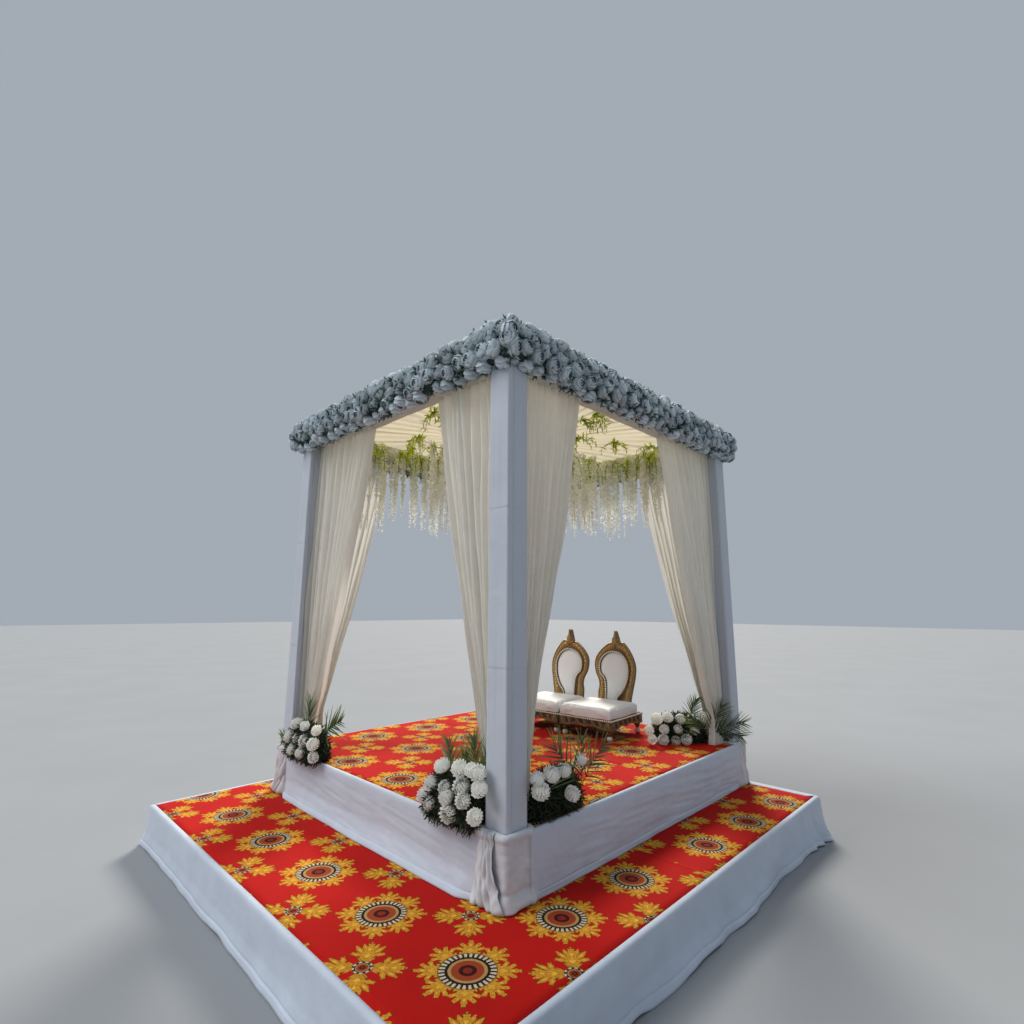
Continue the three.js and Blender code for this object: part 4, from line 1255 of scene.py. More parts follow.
class MANDAP_OT_canopy(PieceOperator, Operator):
    """Cloth over the beams and the pleated ceiling"""

    bl_idname = "mandap.canopy"
    bl_label = "Beams and ceiling"

    pleats = 52
    pleat_depth = 0.015

    def execute(self, context):
        cloth = context.scene.mandap_cloth
        tight = cloth_material(cloth, "beam")
        for number, side in enumerate(SIDES):
            node = f"beam_{side}"
            cloth_piece(f"{node}_cover", self.beam_grid(side, 100 + number), tight, "beam_cloth", node,
                        "stretched", [f"column_{corner}_cover" for corner in CORNERS], cloth.thickness,
                        flip=True)
        grid, flat, tone = self.ceiling_grid()
        node = "ceiling_cloth"
        low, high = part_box(node)
        cloth_piece(f"{node}_pleated", grid, cloth_material(cloth, "ceiling"), node, node, "gathered",
                    [f"beam_{side}_cover" for side in SIDES], cloth.thickness, flat,
                    (high.x - low.x, high.y - low.y), value=tone, wrap=True, flip=True)
        return {"FINISHED"}

    @staticmethod
    def beam_grid(side, seed):
        """Tight cloth round a beam, lapped on top, with faint pulls across."""
        half = COLUMN_SIDE / 2 - MM
        low, high = BEAM_UNDERSIDE + MM, BEAM_TOP - 1.5 * MM
        path, down = resampled(
            [(0.012, high), (half, high), (half, low), (-half, low), (-half, high), (-0.012, high)], 40
        )
        middle, down = (low + high) / 2, down[:, None]
        share = np.linspace(-1, 1, 90)[None]
        run = share * HALF_BAYS[axis_of(side)]
        swell = 0.0025 * noise2(run / 0.30, down / 0.12, seed)
        swell += 0.0014 * noise2(run / 0.05 + 3 * down, down / 0.3, seed + 9)
        out, height = path[:, :1], path[:, 1:] - middle
        grown = 1 + swell / np.hypot(out, height)
        return along_side(side, FRAME_PLAN, out * grown, middle + height * grown, share)

    def ceiling_grid(self):
        """Pleats fanned from the middle to the beams."""
        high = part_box("ceiling_cloth")[1]
        turns = np.linspace(0, 2 * pi, self.pleats * 8, endpoint=False)[None]
        reach = np.concatenate([[0.012, 0.04, 0.08], np.linspace(0.14, 1.0, 17)])[:, None]
        way_x, way_y = np.cos(turns), np.sin(turns)
        edge = 1 / np.maximum(abs(way_x) / high.x, abs(way_y) / high.y)
        x, y = way_x * edge * reach, way_y * edge * reach
        wander = 1.6 * noise2(reach * 2.0, way_x * 3.0, 5)
        fold = np.sin(turns * self.pleats + wander) + 0.30 * np.sin(turns * self.pleats * 2 + 1.3)
        fold *= 0.6 + 0.6 * noise2(way_x * 19, way_y * 17 + reach * 3, 6)
        spread = smooth_step(0.0, 0.5, np.hypot(x, y))
        calm = 1 - 0.9 * smooth_step(0.86, 0.93, reach)
        z = ceiling_underside(x, y) + 2 * MM + self.pleat_depth * spread * calm * (0.5 * fold - 0.1)
        # Painted shade: the tone darkens the pleats' upward hollows
        tone = smooth_step(0.1, 1.0, fold) * spread
        return grid_of(x, y, z), grid_of(x, y), tone


class MANDAP_OT_curtains(PieceOperator, Operator):
    """Sheer curtains, two beside each column, pleated and drawn in to it"""

    bl_idname = "mandap.curtains"
    bl_label = "Curtains"

    rows = 46
    wide_from = 0.65
    deepest_pleat = 0.08
    halvings = 24

    def execute(self, context):
        cloth = context.scene.mandap_cloth
        material = cloth_material(cloth, "curtain")
        names = [name for name in frame["nodes"] if name.startswith("curtain_")]
        for number, node in enumerate(sorted(names)):
            side = node.split("_")[1]
            grid, tone, cut = self.curtain_grid(node, side, cloth, 200 + 7 * number)
            drop = flat_grid(grid)[-1, :, 1].mean()
            cloth_piece(f"{node}_sheer", grid, material, "curtain_sheer", node, "gathered",
                        [f"beam_{side}_cover"], cut=(cut, drop), value=tone)
        return {"FINISHED"}

    def curtain_grid(self, node, side, cloth, seed):
        """Pleats whose length along the cloth is the cut width at every height. How far they reach along the
        side comes from the frame's plain solid."""
        points = np.array([v.co for v in frame["nodes"][node].data.vertices])
        axis = axis_of(side)
        column = HALF_BAYS[axis] - COLUMN_SIDE / 2
        levels = np.unique(points[:, 2].round(4))
        reaches = [column - abs(points[abs(points[:, 2] - z) < 1e-3][:, axis]).min() for z in levels]
        cut = cloth.narrow_cut if max(reaches) < self.wide_from else cloth.wide_cut
        signs, across = np.sign(points.mean(0)), abs(points.mean(0)[1 - axis])
        count = max(6, round(cut / cloth.pleat))
        share = np.linspace(0, 1, count * 13)
        phase = 2 * pi * (count * share + 0.45 * noise2(share * count * 0.6, 0.0, seed))
        grid, tone = [], []
        for fall in np.linspace(0, 1, self.rows):
            z = BEAM_UNDERSIDE - 0.001 - (BEAM_UNDERSIDE - UPPER_FLOOR - 0.002) * fall
            reach = float(np.interp(z, levels, reaches)) - 0.004
            drift = 0.8 * noise2(share * count * 0.5, fall * 2.2, seed + 1)
            wave = np.sin(phase + drift) + 0.30 * np.sin(2 * phase + 1.1)
            wave += 0.5 * noise2(share * count * 2.3 + 1.5 * fall, fall * 6, seed + 2)
            wave *= 0.7 + 0.5 * noise2(share * count * 0.5, fall * 1.3, seed + 3)
            lean = 0.18 / count * np.sin(phase + drift + 1.2)
            line = reach * np.clip(share + lean * np.sin(np.pi * share), 0, 1)
            low, high = 0.0, self.deepest_pleat
            for _ in range(self.halvings):
                depth = (low + high) / 2
                length = np.hypot(np.diff(line), np.diff(depth * wave)).sum()
                low, high = (depth, high) if length < cut else (low, depth)
            bow = 0.010 * sin(pi * fall) * noise2(share * 1.5, fall * 2, seed + 4)
            place = np.full((len(share), 3), z)
            place[:, axis] = signs[axis] * (column - 0.002 - line)
            place[:, 1 - axis] = signs[1 - axis] * (across - depth * wave - bow)
            grid.append(place)
            outwards = -1 if side in ("back", "left") else 1
            # Painted shade: the tone darkens the pleats' hollows as seen from outside
            tone.append(smooth_step(-0.3, 0.9, wave * outwards))
        return np.array(grid), np.array(tone), cut


# The garlands' section, as distance out from the column line and height, and the middle that the foliage
# under the flower heads is drawn in towards
GARLAND_SECTION = (
    (0.0745, 2.888), (0.128, 2.882), (0.170, 2.940), (0.184, 3.040), (0.160, 3.140), (0.095, 3.196),
    (0.005, 3.190), (-0.046, 3.135), (-0.040, 3.0945),
)
GARLAND_MIDDLE = (0.070, 3.050)


class MANDAP_OT_garlands(PieceOperator, Operator):
    """Garlands of silk flower heads and leaves along the beams"""

    bl_idname = "mandap.garlands"
    bl_label = "Garlands"

    head_inset = 0.047
    leaf_insets = (0.036, 0.046)

    def execute(self, context):
        flowers = context.scene.mandap_flowers
        petals, leaves = (petal_material(flowers, kind) for kind in ("garland", "garland_leaf"))
        heads = parts_bin("rose", [ball_head(**ROSE, seed=300 + i) for i in range(4)])
        sprays = parts_bin("spray", [leaf_sprig(**SPRAY, seed=320 + i) for i in range(3)])
        scatter = surface_tree()
        for number, side in enumerate(SIDES):
            seed, node = flowers.seed + number, f"garland_{side}"
            core = self.core_shape(side, self.head_inset, self.head_inset, 9, 400 + number)
            # The foliage core is a closed sheet in the dark leaf colours under the heads, painted shade in
            # the gaps between them
            place_piece(core.make(f"{node}_foliage"), leaves, "garland_leaves", node)
            grow(core.make(f"{node}_heads"), scatter, petals, "garland_flowers", node, pieces=heads,
                 spacing=flowers.spacing, smallest=flowers.head * 0.88, largest=flowers.head * 1.10, lean=0.3,
                 seed=seed)
            green = self.core_shape(side, *self.leaf_insets, 6, 420 + number)
            grow(green.make(f"{node}_leaves"), scatter, leaves, "garland_leaves", node, pieces=sprays,
                 spacing=0.070, smallest=0.036, largest=0.062, lean=0.8, seed=seed + 10)
        empty_bins(heads, sprays)
        return {"FINISHED"}

    @staticmethod
    def core_shape(side, low_inset, high_inset, corners, seed):
        """The garland's section, or its first corners, drawn in from the heads' outline."""
        section = np.array(GARLAND_SECTION[:corners])
        middle = np.array(GARLAND_MIDDLE)
        away = section - middle
        inset = np.linspace(low_inset, high_inset, corners)[:, None]
        drawn = middle + away * (1 - inset / np.linalg.norm(away, axis=1)[:, None])
        drawn[0, 0] = section[0, 0]
        if corners == len(GARLAND_SECTION):
            drawn[-1, 1] = section[-1, 1]
        path, _ = resampled(drawn, 20)
        share = np.linspace(-1, 1, 60)[None]
        lumps = 0.010 * noise2(share * 14, np.arange(20)[:, None] / 4, seed)
        way = unit(path - middle)
        out, height = (path[:, k:k + 1] + way[:, k:k + 1] * lumps for k in (0, 1))
        return Shape().add_grid(along_side(side, FRAME_PLAN, out, height, share), 0.35)


# Rows of hanging flowers: the row's place, its two ends, how many bunches hang from it, and the places of
# the leafy twigs beside it that hang from the ceiling
FLOWER_ROWS = {
    "flower_row_left": {
        "x": -0.990, "ends": (-0.900, 0.860), "bunches": 7, "twigs": ((-0.92, -0.95), (-0.72, -0.60)),
    },
    "flower_row_back": {"y": 1.105, "ends": (-0.760, 0.780), "bunches": 7, "twigs": ((0.80, 0.85),)},
    "flower_row_middle_left": {
        "x": -0.520, "ends": (-0.600, 0.860), "bunches": 4, "twigs": ((-0.45, -0.72), (0.12, -1.00)),
    },
    "flower_row_middle_right": {
        "x": 0.180, "ends": (-0.300, 0.860), "bunches": 4,
        "twigs": ((0.80, -0.15), (0.94, -0.16), (0.52, 0.16), (0.66, 0.50)),
    },
}
# Height at which the lowest bunches end, and the step from one bunch to the next
BUNCH_FOOT = 2.270
BUNCH_STEP = 0.036


class MANDAP_OT_hanging(PieceOperator, Operator):
    """Strings of small flowers and leafy twigs that hang from the ceiling"""

    bl_idname = "mandap.hanging"
    bl_label = "Hanging flowers"

    strings = 8
    sprays = 7
    spray_drop = 0.20
    twig_drop = 0.08
    string_gap = 0.035
    spray_gap = 0.065

    def execute(self, context):
        flowers = context.scene.mandap_flowers
        petals, leaves = (petal_material(flowers, kind) for kind in ("string", "string_leaf"))
        bloom = parts_bin("floret", [leaf_sprig(**FLORET, seed=500 + i) for i in range(3)])
        leaf = parts_bin("leaflet", [leaf_sprig(**LEAFLET, seed=520 + i) for i in range(3)])
        along = strand_tree()
        draw = np.random.default_rng(flowers.seed + 500)
        for name, row in FLOWER_ROWS.items():
            strings, sprays = [], []
            start, end = row["ends"]
            spread = (end - start) / row["bunches"] / 2
            for i in range(row["bunches"]):
                at = start + spread * (2 * i + 1)
                foot = BUNCH_FOOT + BUNCH_STEP * (i * 3 % 4)
                for k in range(self.strings):
                    shift = spread * (2 * (k + 0.5) / self.strings - 1) + draw.uniform(-0.02, 0.02)
                    strings.append(self.string(row, at + shift, foot + draw.uniform(-0.02, 0.09), draw))
                for k in range(self.sprays):
                    place = self.on_row(row, at + draw.uniform(-0.5, 0.5) * spread)
                    sprays.append(self.spray(*place, self.spray_drop, draw))
            for place in row["twigs"]:
                sprays += [self.spray(*place, self.twig_drop, draw) for _ in range(self.sprays)]
            grow(lines_object(f"{name}_strings", strings), along, petals, "hanging_flowers", name,
                 pieces=bloom, spacing=0.020, smallest=0.050, largest=0.068, lean=1.2, tip=0.4, stem=0.0012,
                 seed=flowers.seed + 60)
            grow(lines_object(f"{name}_leaves", sprays), along, leaves, "hanging_leaves", name, pieces=leaf,
                 spacing=0.028, smallest=0.042, largest=0.066, lean=0.8, tip=0.7, stem=0.0018,
                 seed=flowers.seed + 70)
        empty_bins(bloom, leaf)
        return {"FINISHED"}

    @staticmethod
    def on_row(row, along):
        """A point on a row, which runs along X at its own y or along Y at its own x."""
        return (row["x"], along) if "x" in row else (along, row["y"])

    def string(self, row, along, foot, draw):
        """One string, from the ceiling down to its foot, swaying a little."""
        x, y = np.array(self.on_row(row, along)) + draw.uniform(-0.055, 0.055, 2)
        top = float(ceiling_underside(x, y)) - self.string_gap
        sway = draw.uniform(-0.02, 0.02, 2)
        shares = np.linspace(0, 1, 9)
        swing = np.sin(shares * 2.6)
        return grid_of(x + sway[0] * swing, y + sway[1] * swing, top + (foot - top) * shares)

    def spray(self, x, y, drop, draw):
        """A leafy spray that springs out under the ceiling and droops."""
        top = float(ceiling_underside(x, y)) - self.spray_gap
        way, reach = draw.uniform(0, 2 * pi), draw.uniform(0.03, 0.16)
        drop *= draw.uniform(0.6, 1.2)
        shares = np.linspace(0, 1, 6)
        out = reach * np.sin(shares * 1.7)
        return grid_of(x + out * cos(way), y + out * sin(way), top - 0.02 * shares - drop * shares ** 2)


# Bouquets: centre, half length and depth, height, turn in degrees. Rows of heads give their height, the
# places of the first and the last, from -1 to 1, and their number. Palm leaves give their root, how far they
# lean to the side and back in degrees, length and bend. A shift moves the low leaves back and up.
BOUQUETS = {
    "front_left": {
        "centre": (-0.770, -1.360), "half": (0.290, 0.074), "height": 0.250, "turn": 0,
        "rows": [(0.050, -0.25, 0.80, 3), (0.130, -0.55, 0.75, 4), (0.215, -0.35, 0.75, 3)],
        "palms": [(-0.33, 0.03, 0.10, 4, 4, 0.26, -0.1), (0.45, 0.03, 0.13, 50, 6, 0.28, 0.3),
                  (-0.75, -0.02, 0.04, -70, -6, 0.17, -0.3)],
    },
    "front_right": {
        "centre": (0.860, -1.360), "half": (0.235, 0.074), "height": 0.245, "turn": 0,
        "rows": [(0.050, -0.44, 0.32, 2), (0.080, -0.64, 1.05, 2), (0.117, 0.14, 0.65, 2),
                 (0.159, -0.46, -0.02, 2), (0.185, 0.53, 1.01, 2), (0.250, -0.20, 0.98, 3),
                 (0.268, 0.76, 0.76, 1)],
        "palms": [(-0.30, 0.05, 0.14, -14, 4, 0.20, -0.1), (-0.10, 0.05, 0.14, 14, 4, 0.17, 0.1),
                  (0.50, 0.05, 0.16, -10, 4, 0.22, -0.1), (0.62, 0.05, 0.16, 22, 4, 0.21, 0.2)],
    },
    "right_front": {
        "centre": (1.236, -0.950), "half": (0.225, 0.070), "height": 0.225, "turn": 90,
        "shift": (0.056, 0.018),
        "rows": [(0.112, 0.03, 0.03, 1), (0.180, -1.0, -1.0, 1), (0.232, -1.0, -0.21, 3),
                 (0.246, 0.55, 0.55, 1)],
        "palms": [(0.42, -0.04, 0.13, -40, 2, 0.30, 0.0), (0.52, -0.04, 0.14, 4, 4, 0.22, 0.1),
                  (0.60, -0.03, 0.13, 46, 6, 0.28, 0.35)],
    },
    "back_right": {
        "centre": (0.868, 0.985), "half": (0.245, 0.130), "height": 0.220, "turn": 45,
        "rows": [(0.035, -1.0, 0.10, 4), (0.105, -1.05, 0.35, 4), (0.180, -0.82, 1.10, 6)],
        "palms": [(0.85, -0.12, 0.08, 20, -8, 0.24, 0.2), (0.85, -0.12, 0.08, 58, -25, 0.28, 0.5),
                  (0.80, -0.13, 0.08, 88, -35, 0.28, 0.4), (0.70, -0.13, 0.08, 112, -40, 0.24, 0.3),
                  (0.75, -0.12, 0.10, -38, -30, 0.20, -0.4), (0.60, -0.14, 0.08, -95, -45, 0.18, -0.3),
                  (0.45, 0.04, 0.12, 12, 5, 0.20, 0.3)],
    },
    "back_left": {
        "centre": (-0.872, 1.000), "half": (0.240, 0.130), "height": 0.260, "turn": -45,
        "rows": [(0.045, -0.80, 0.80, 4), (0.120, -0.70, 0.60, 3), (0.200, -0.50, 0.55, 3)],
        "palms": [(-0.5, 0.04, 0.12, -40, 5, 0.24, -0.3), (0.1, 0.05, 0.13, 8, 5, 0.22, 0.1)],
    },
}


class MANDAP_OT_bouquets(PieceOperator, Operator):
    """White chrysanthemums with palm leaves at the columns' feet"""

    bl_idname = "mandap.bouquets"
    bl_label = "Bouquets"

    leaflets = 20

    def execute(self, context):
        flowers = context.scene.mandap_flowers
        petals, palm, fern = (petal_material(flowers, kind) for kind in ("mum", "palm", "fern"))
        scatter = surface_tree()
        sprigs = parts_bin("fern", [leaf_sprig(**FERN, seed=620 + i) for i in range(3)])
        heads = [ball_head(**MUM, seed=600 + i) for i in range(4)]
        for number, (corner, form) in enumerate(BOUQUETS.items()):
            name = f"bouquet_{corner}"
            draw = np.random.default_rng(flowers.seed + 700 + number)
            place = Matrix.Translation((*form["centre"], UPPER_FLOOR)) @ turned(form["turn"])
            grow(self.mound(form, place, 0.80).make(f"{name}_ferns"), scatter, fern, "bouquet_leaves", name,
                 pieces=sprigs, spacing=0.017, smallest=0.040, largest=0.066, lean=0.7,
                 seed=flowers.seed + 30 + number)
            # The heart is a closed mound in the ferns' near-black colours, painted shade inside the bouquet
            place_piece(self.mound(form, place, 0.78).make(f"{name}_heart"), fern, "bouquet_leaves", name)
            blooms = self.blooms(form, place, heads, flowers.mum_head, draw).make(f"{name}_heads")
            place_piece(blooms, petals, "bouquet_flowers", name)
            leaves = self.palms(form, place, draw).make(f"{name}_palm")
            place_piece(leaves, palm, "bouquet_leaves", name)
        empty_bins(sprigs)
        return {"FINISHED"}

    @staticmethod
    def mound(form, place, scale):
        """The low mound of leaves that the flowers stand in."""
        half_x, half_y = form["half"]
        angle = np.linspace(0, 2 * pi, 28, endpoint=False)[None]
        tilt = np.linspace(0.0, 1.45, 9)[:, None]
        square = scale / np.maximum(abs(np.cos(angle)), abs(np.sin(angle))) ** 0.6 * np.cos(tilt) ** 0.7
        height = 0.004 + form["height"] * scale * np.sin(tilt)
        grid = grid_of(half_x * square * np.cos(angle), half_y * square * np.sin(angle), height)
        shifted = place @ Matrix.Translation((0, *form.get("shift", (0, 0))))
        return Shape().add_closed(transformed(grid, shifted), 0.25)

    @staticmethod
    def blooms(form, place, heads, across, draw):
        """Rows of heads that face out over the deck's edge, the upper ones more and more upwards."""
        half_x, half_y = form["half"]
        shape = Shape()
        for height, first, last, count in form["rows"]:
            rise = height / form["height"]
            for share in np.linspace(first, last, count):
                spot = Vector((
                    share * half_x + draw.uniform(-0.011, 0.011),
                    -half_y * (1.15 - 0.62 * rise) + draw.uniform(-0.014, 0.010),
                    height + draw.uniform(-0.010, 0.010),
                ))
                lean = draw.uniform(-0.35, 0.35)
                face = Vector((0.30 * share + lean, -0.95 + 0.45 * rise, 0.30 + 0.75 * rise - lean / 2))
                turn = face.to_track_quat("Z", "Y").to_matrix().to_4x4()
                spin = turned(draw.uniform(0, 360))
                grown = Matrix.Scale(across * draw.uniform(0.85, 1.12), 4)
                matrix = place @ Matrix.Translation(spot) @ turn @ spin @ grown
                shape.add_shape(heads[int(draw.integers(len(heads)))], matrix)
        return shape

    def palms(self, form, place, draw):
        """Palm leaves that spring from among the flowers and lean to the sides."""
        shape = Shape()
        for share, back, up, lean, tip_back, length, bend in form["palms"]:
            root = Matrix.Translation((share * form["half"][0], back, up))
            leaf = palm_frond(length, bend, self.leaflets, int(draw.integers(1000)))
            shape.add_shape(leaf, place @ root @ turned(-tip_back, "X") @ turned(lean, "Y"))
        return shape


# Seats: their turn and places, sizes, and the outlines of the right one's back, across from its middle and
# above the floor
SEAT_TURN = 4.0
SEAT_PLACES = {"left": ((-0.245, 0.719), -1), "right": ((0.276, 0.755), 1)}
SEAT_WIDTH, SEAT_DEPTH, CUSHION_DEPTH = 0.500, 0.530, 0.482
RAIL_TOP, RAIL_BOTTOM = 0.165, 0.084
BACK_FRONT, BACK_THICK, BACK_RAKE, BACK_PIVOT = 0.221, 0.044, 6.0, 0.120
LEG_INSET = 0.034
SURROUND = (
    (-150, 120), (-172, 200), (-176, 290), (-166, 350), (-176, 405), (-207, 465), (-221, 540), (-208, 605),
    (-158, 672), (-92, 724), (-50, 744), (-32, 796), (-13, 846), (10, 796), (30, 746), (70, 738), (122, 680),
    (166, 605), (188, 530), (184, 440), (165, 340), (148, 240), (140, 120),
)
PAD = (
    (-78, 200), (-86, 300), (-92, 385), (-112, 432), (-146, 464), (-158, 520), (-146, 578), (-100, 628),
    (-34, 652), (40, 642), (94, 598), (122, 536), (124, 466), (110, 396), (76, 326), (30, 270), (10, 200),
)
BACK_CENTRE = np.array((-0.017, 0.480))
# Section of the carved ring round the back pad: share of the way out and depth before its rear face
RING_SECTION = (
    (0.00, 0.018), (0.00, 0.036), (0.05, 0.043), (0.13, 0.044), (0.18, 0.037), (0.25, 0.031), (0.33, 0.033),
    (0.42, 0.037), (0.52, 0.040), (0.62, 0.041), (0.72, 0.040), (0.80, 0.036), (0.85, 0.033), (0.90, 0.041),
    (0.96, 0.043), (1.00, 0.036), (1.01, 0.022), (1.00, 0.006), (0.97, 0.000), (0.60, 0.000), (0.25, 0.000),
    (0.00, 0.002),
)
# Section of a rail: share of its height and depth behind its carved face
RAIL_SECTION = (
    (0.0, 0.036), (0.0, 0.006), (0.06, 0.001), (0.14, 0.0), (0.24, 0.003), (0.36, 0.004), (0.48, 0.004),
    (0.60, 0.004), (0.72, 0.005), (0.82, 0.006), (0.90, 0.008), (1.0, 0.012), (1.0, 0.038), (0.5, 0.040),
)
# Leaves of the crest: lean to the side, length, width and how far it stands forward
CREST_FOOT = (-0.010, 0.716)
CREST_LEAVES = (
    (0.0, 0.130, 0.042, 0.012), (0.42, 0.070, 0.034, 0.006), (-0.42, 0.070, 0.034, 0.006),
    (1.15, 0.066, 0.032, 0.002), (-1.15, 0.066, 0.032, 0.002),
)
# Profiles turned on the lathe, as radius and height pairs
BEAD = ((0.10, -0.5), (0.38, -0.3), (0.5, 0.0), (0.38, 0.3), (0.10, 0.5))
FOOT = ((0.004, 0.0), (0.012, 0.001), (0.020, 0.010), (0.023, 0.022), (0.020, 0.034), (0.004, 0.042))
LEG = (
    (0.004, 0.040), (0.013, 0.042), (0.012, 0.047), (0.019, 0.055), (0.023, 0.064), (0.021, 0.072),
    (0.024, 0.078), (0.024, 0.086), (0.004, 0.090),
)


def smooth_outline(points, mirror, steps=24):
    """A closed curve through points, in metres, the way round that runs anticlockwise."""
    points = np.array(points, float) * MM * (mirror, 1)
    t = np.linspace(0, 1, steps, endpoint=False)[:, None]
    made = []
    for i in range(len(points)):
        a, b, c, d = np.roll(points, 1 - i, 0)[:4]
        bend = (2 * a - 5 * b + 4 * c - d) * t ** 2 + (3 * b - a - 3 * c + d) * t ** 3
        made.append(0.5 * (2 * b + (c - a) * t + bend))
    return np.concatenate(made)[::-mirror]


def stood_up(flat, depth):
    """Points of the raked back, from across and height, and depth before its rear face."""
    rake = radians(BACK_RAKE)
    rise = flat[..., 1] - BACK_PIVOT
    y = -depth * cos(rake) + rise * sin(rake) + BACK_FRONT + BACK_THICK
    z = depth * sin(rake) + rise * cos(rake) + BACK_PIVOT
    return np.stack([flat[..., 0], y, z], -1)


def seat_matrix(side):
    """From a seat's own place to the room."""
    (x, y), _ = SEAT_PLACES[side]
    return Matrix.Translation((x, y, UPPER_FLOOR + 0.3 * MM)) @ turned(SEAT_TURN)


def box_shape(half_x, half_y, heights, tone):
    """A box from its half sizes and the heights of its layers."""
    corners = [(-half_x, -half_y), (half_x, -half_y), (half_x, half_y), (-half_x, half_y)]
    return Shape().add_closed(np.array([[(*corner, z) for corner in corners] for z in heights]), tone)


class MANDAP_OT_seats(PieceOperator, Operator):
    """Carved gilt frames of the two wedding seats"""

    bl_idname = "mandap.seats"
    bl_label = "Seat frames"

    ring_steps = 620
    leaf_pitch = 0.036
    bead_gap = 0.006
    bead_depth = 0.053
    lowest_bead = 0.235

    def execute(self, context):
        seats = context.scene.mandap_seats
        gilt, enamel, pearl = gilt_wood(seats), painted_feet(), pearl_beads()
        ball = parts_bin("bead", [lathe_shape(BEAD, 7)])
        along = strand_tree()
        for side, (_, mirror) in SEAT_PLACES.items():
            place, node = seat_matrix(side), f"seat_frame_{side}"
            carved, feet = Shape(), Shape()
            back = self.surround(mirror, seats.carving)
            for part in (back, self.crest(mirror), self.rails(seats.carving), self.legs()):
                carved.add_shape(part, place)
            place_piece(carved.make(f"{node}_carved"), gilt, "gilt_wood", node)
            for leg in self.leg_places():
                feet.add_shape(lathe_shape(FOOT, 20), place @ Matrix.Translation(leg))
            place_piece(feet.make(f"seat_feet_{side}"), enamel, "gilt_wood", node)
            lines = lines_object(f"seat_beads_{side}", self.bead_lines(place, mirror))
            grow(lines, along, pearl, "gilt_wood", node, pieces=ball, spacing=seats.bead * 1.25, seed=1,
                 smallest=seats.bead, largest=seats.bead, lean=0.0, tip=1.0, stem=0.0016)
        empty_bins(ball)
        return {"FINISHED"}

    @staticmethod
    def leg_places():
        """Where the four legs stand."""
        x, y = SEAT_WIDTH / 2 - LEG_INSET, SEAT_DEPTH / 2 - LEG_INSET
        return [(x, y, 0), (-x, y, 0), (-x, -y, 0), (x, -y, 0)]

    @staticmethod
    def edge_radius(points, mirror, angles):
        """How far an outline lies from the back's centre, at each angle."""
        outline = smooth_outline(points, mirror) - BACK_CENTRE * (mirror, 1)
        found = np.arctan2(outline[:, 1], outline[:, 0])
        order = np.argsort(found)
        return np.interp(angles, found[order], np.hypot(*outline.T)[order], period=2 * pi)

    def surround(self, mirror, carving):
        """The carved ring: bead channel, hollow, leaves and a rope edge."""
        angles = np.linspace(-pi, pi, self.ring_steps, endpoint=False)
        inner = self.edge_radius(PAD, mirror, angles)
        outer = self.edge_radius(SURROUND, mirror, angles)
        share, deep = np.array(RING_SECTION).T[:, :, None]
        reach = inner + (outer - inner) * share
        flat = BACK_CENTRE * (mirror, 1) + ways(angles) * reach[..., None]
        along = distances(np.vstack([flat[9], flat[9][:1]]))
        beat = along[:-1] / along[-1] * round(along[-1] / self.leaf_pitch)
        front = deep > 0.02
        band = smooth_step(0.25, 0.42, share) * (1 - smooth_step(0.76, 0.86, share)) * front
        leaf = abs(np.sin(np.pi * (beat + 0.9 * (share - 0.5)))) ** 0.6
        vein = 0.35 * np.cos(6 * np.pi * (beat + 0.9 * (share - 0.5)))
        twist = np.sin(2 * np.pi * (beat * 2.5 + share * 6))
        relief = carving * band * (leaf - 0.45 + 0.25 * vein)
        relief += 0.0022 * smooth_step(0.86, 0.90, share) * front * twist
        tone = 0.25 + 0.75 * np.clip((deep - 0.028) / 0.016 + relief / carving * 0.7, 0, 1)
        tone *= 0.2 + 0.8 * smooth_step(0.12, 0.26, share)
        grid = np.swapaxes(stood_up(flat, deep + relief), 0, 1)
        return Shape().add_grid(grid, tone.T, wrap=True, ring=True)

    @staticmethod
    def crest(mirror):
        """Leaves fanned on top of the back, round a tall middle one."""
        shape = Shape()
        v, u = np.linspace(0, 1, 8)[:, None], np.linspace(-1, 1, 7)[None]
        for lean, length, width, lift in CREST_LEAVES:
            x = u * (width / 2 * np.sin(np.pi * (0.3 + 0.7 * v ** 0.8)) ** 1.5 + 0.001)
            y = v * length
            across = CREST_FOOT[0] * mirror + x * cos(lean) + y * sin(lean)
            height = CREST_FOOT[1] - x * sin(lean) + y * cos(lean)
            flat = grid_of(across, height)
            domed = 0.040 + lift + 0.010 * (1 - u ** 2) - 0.006 * (abs(u) < 0.2) + 0.004 * v
            ring = [stood_up(flat, domed), stood_up(flat, 0.012 + (domed - 0.022) * v ** 2)[:, ::-1]]
            tone = [0.65 + 0.35 * (1 - u ** 2) + 0 * v, 0.3 + 0 * u + 0 * v]
            shape.add_shape(Shape().add_closed(np.concatenate(ring, 1), np.concatenate(tone, 1), flip=True))
        return shape

    def rails(self, carving):
        """Four rails with a wavy carved lower edge, and a board between them."""
        shape = Shape()
        rise, deep = np.array(RAIL_SECTION).T[:, :, None]
        face = (rise > 0.2) & (rise < 0.8) & (deep < 0.01)
        for turn in range(4):
            length, reach = (SEAT_WIDTH, SEAT_DEPTH / 2) if turn % 2 == 0 else (SEAT_DEPTH, SEAT_WIDTH / 2)
            x = np.linspace(-length / 2 + 0.002, length / 2 - 0.002, 110)[None]
            hollow = np.clip(abs(x) / 0.150, 0, 1)
            low = RAIL_BOTTOM + 0.004 + 0.016 * np.sin(np.pi * hollow) - 0.004 * hollow
            scroll = np.cos(2 * np.pi * x / 0.075 + 3 * (rise - 0.5)) * np.sin(np.pi * rise)
            scroll += 0.5 * np.cos(2 * np.pi * x / 0.030) * np.sin(2 * np.pi * rise)
            y = deep - reach - carving * 0.8 * face * np.clip(scroll, -0.5, 1)
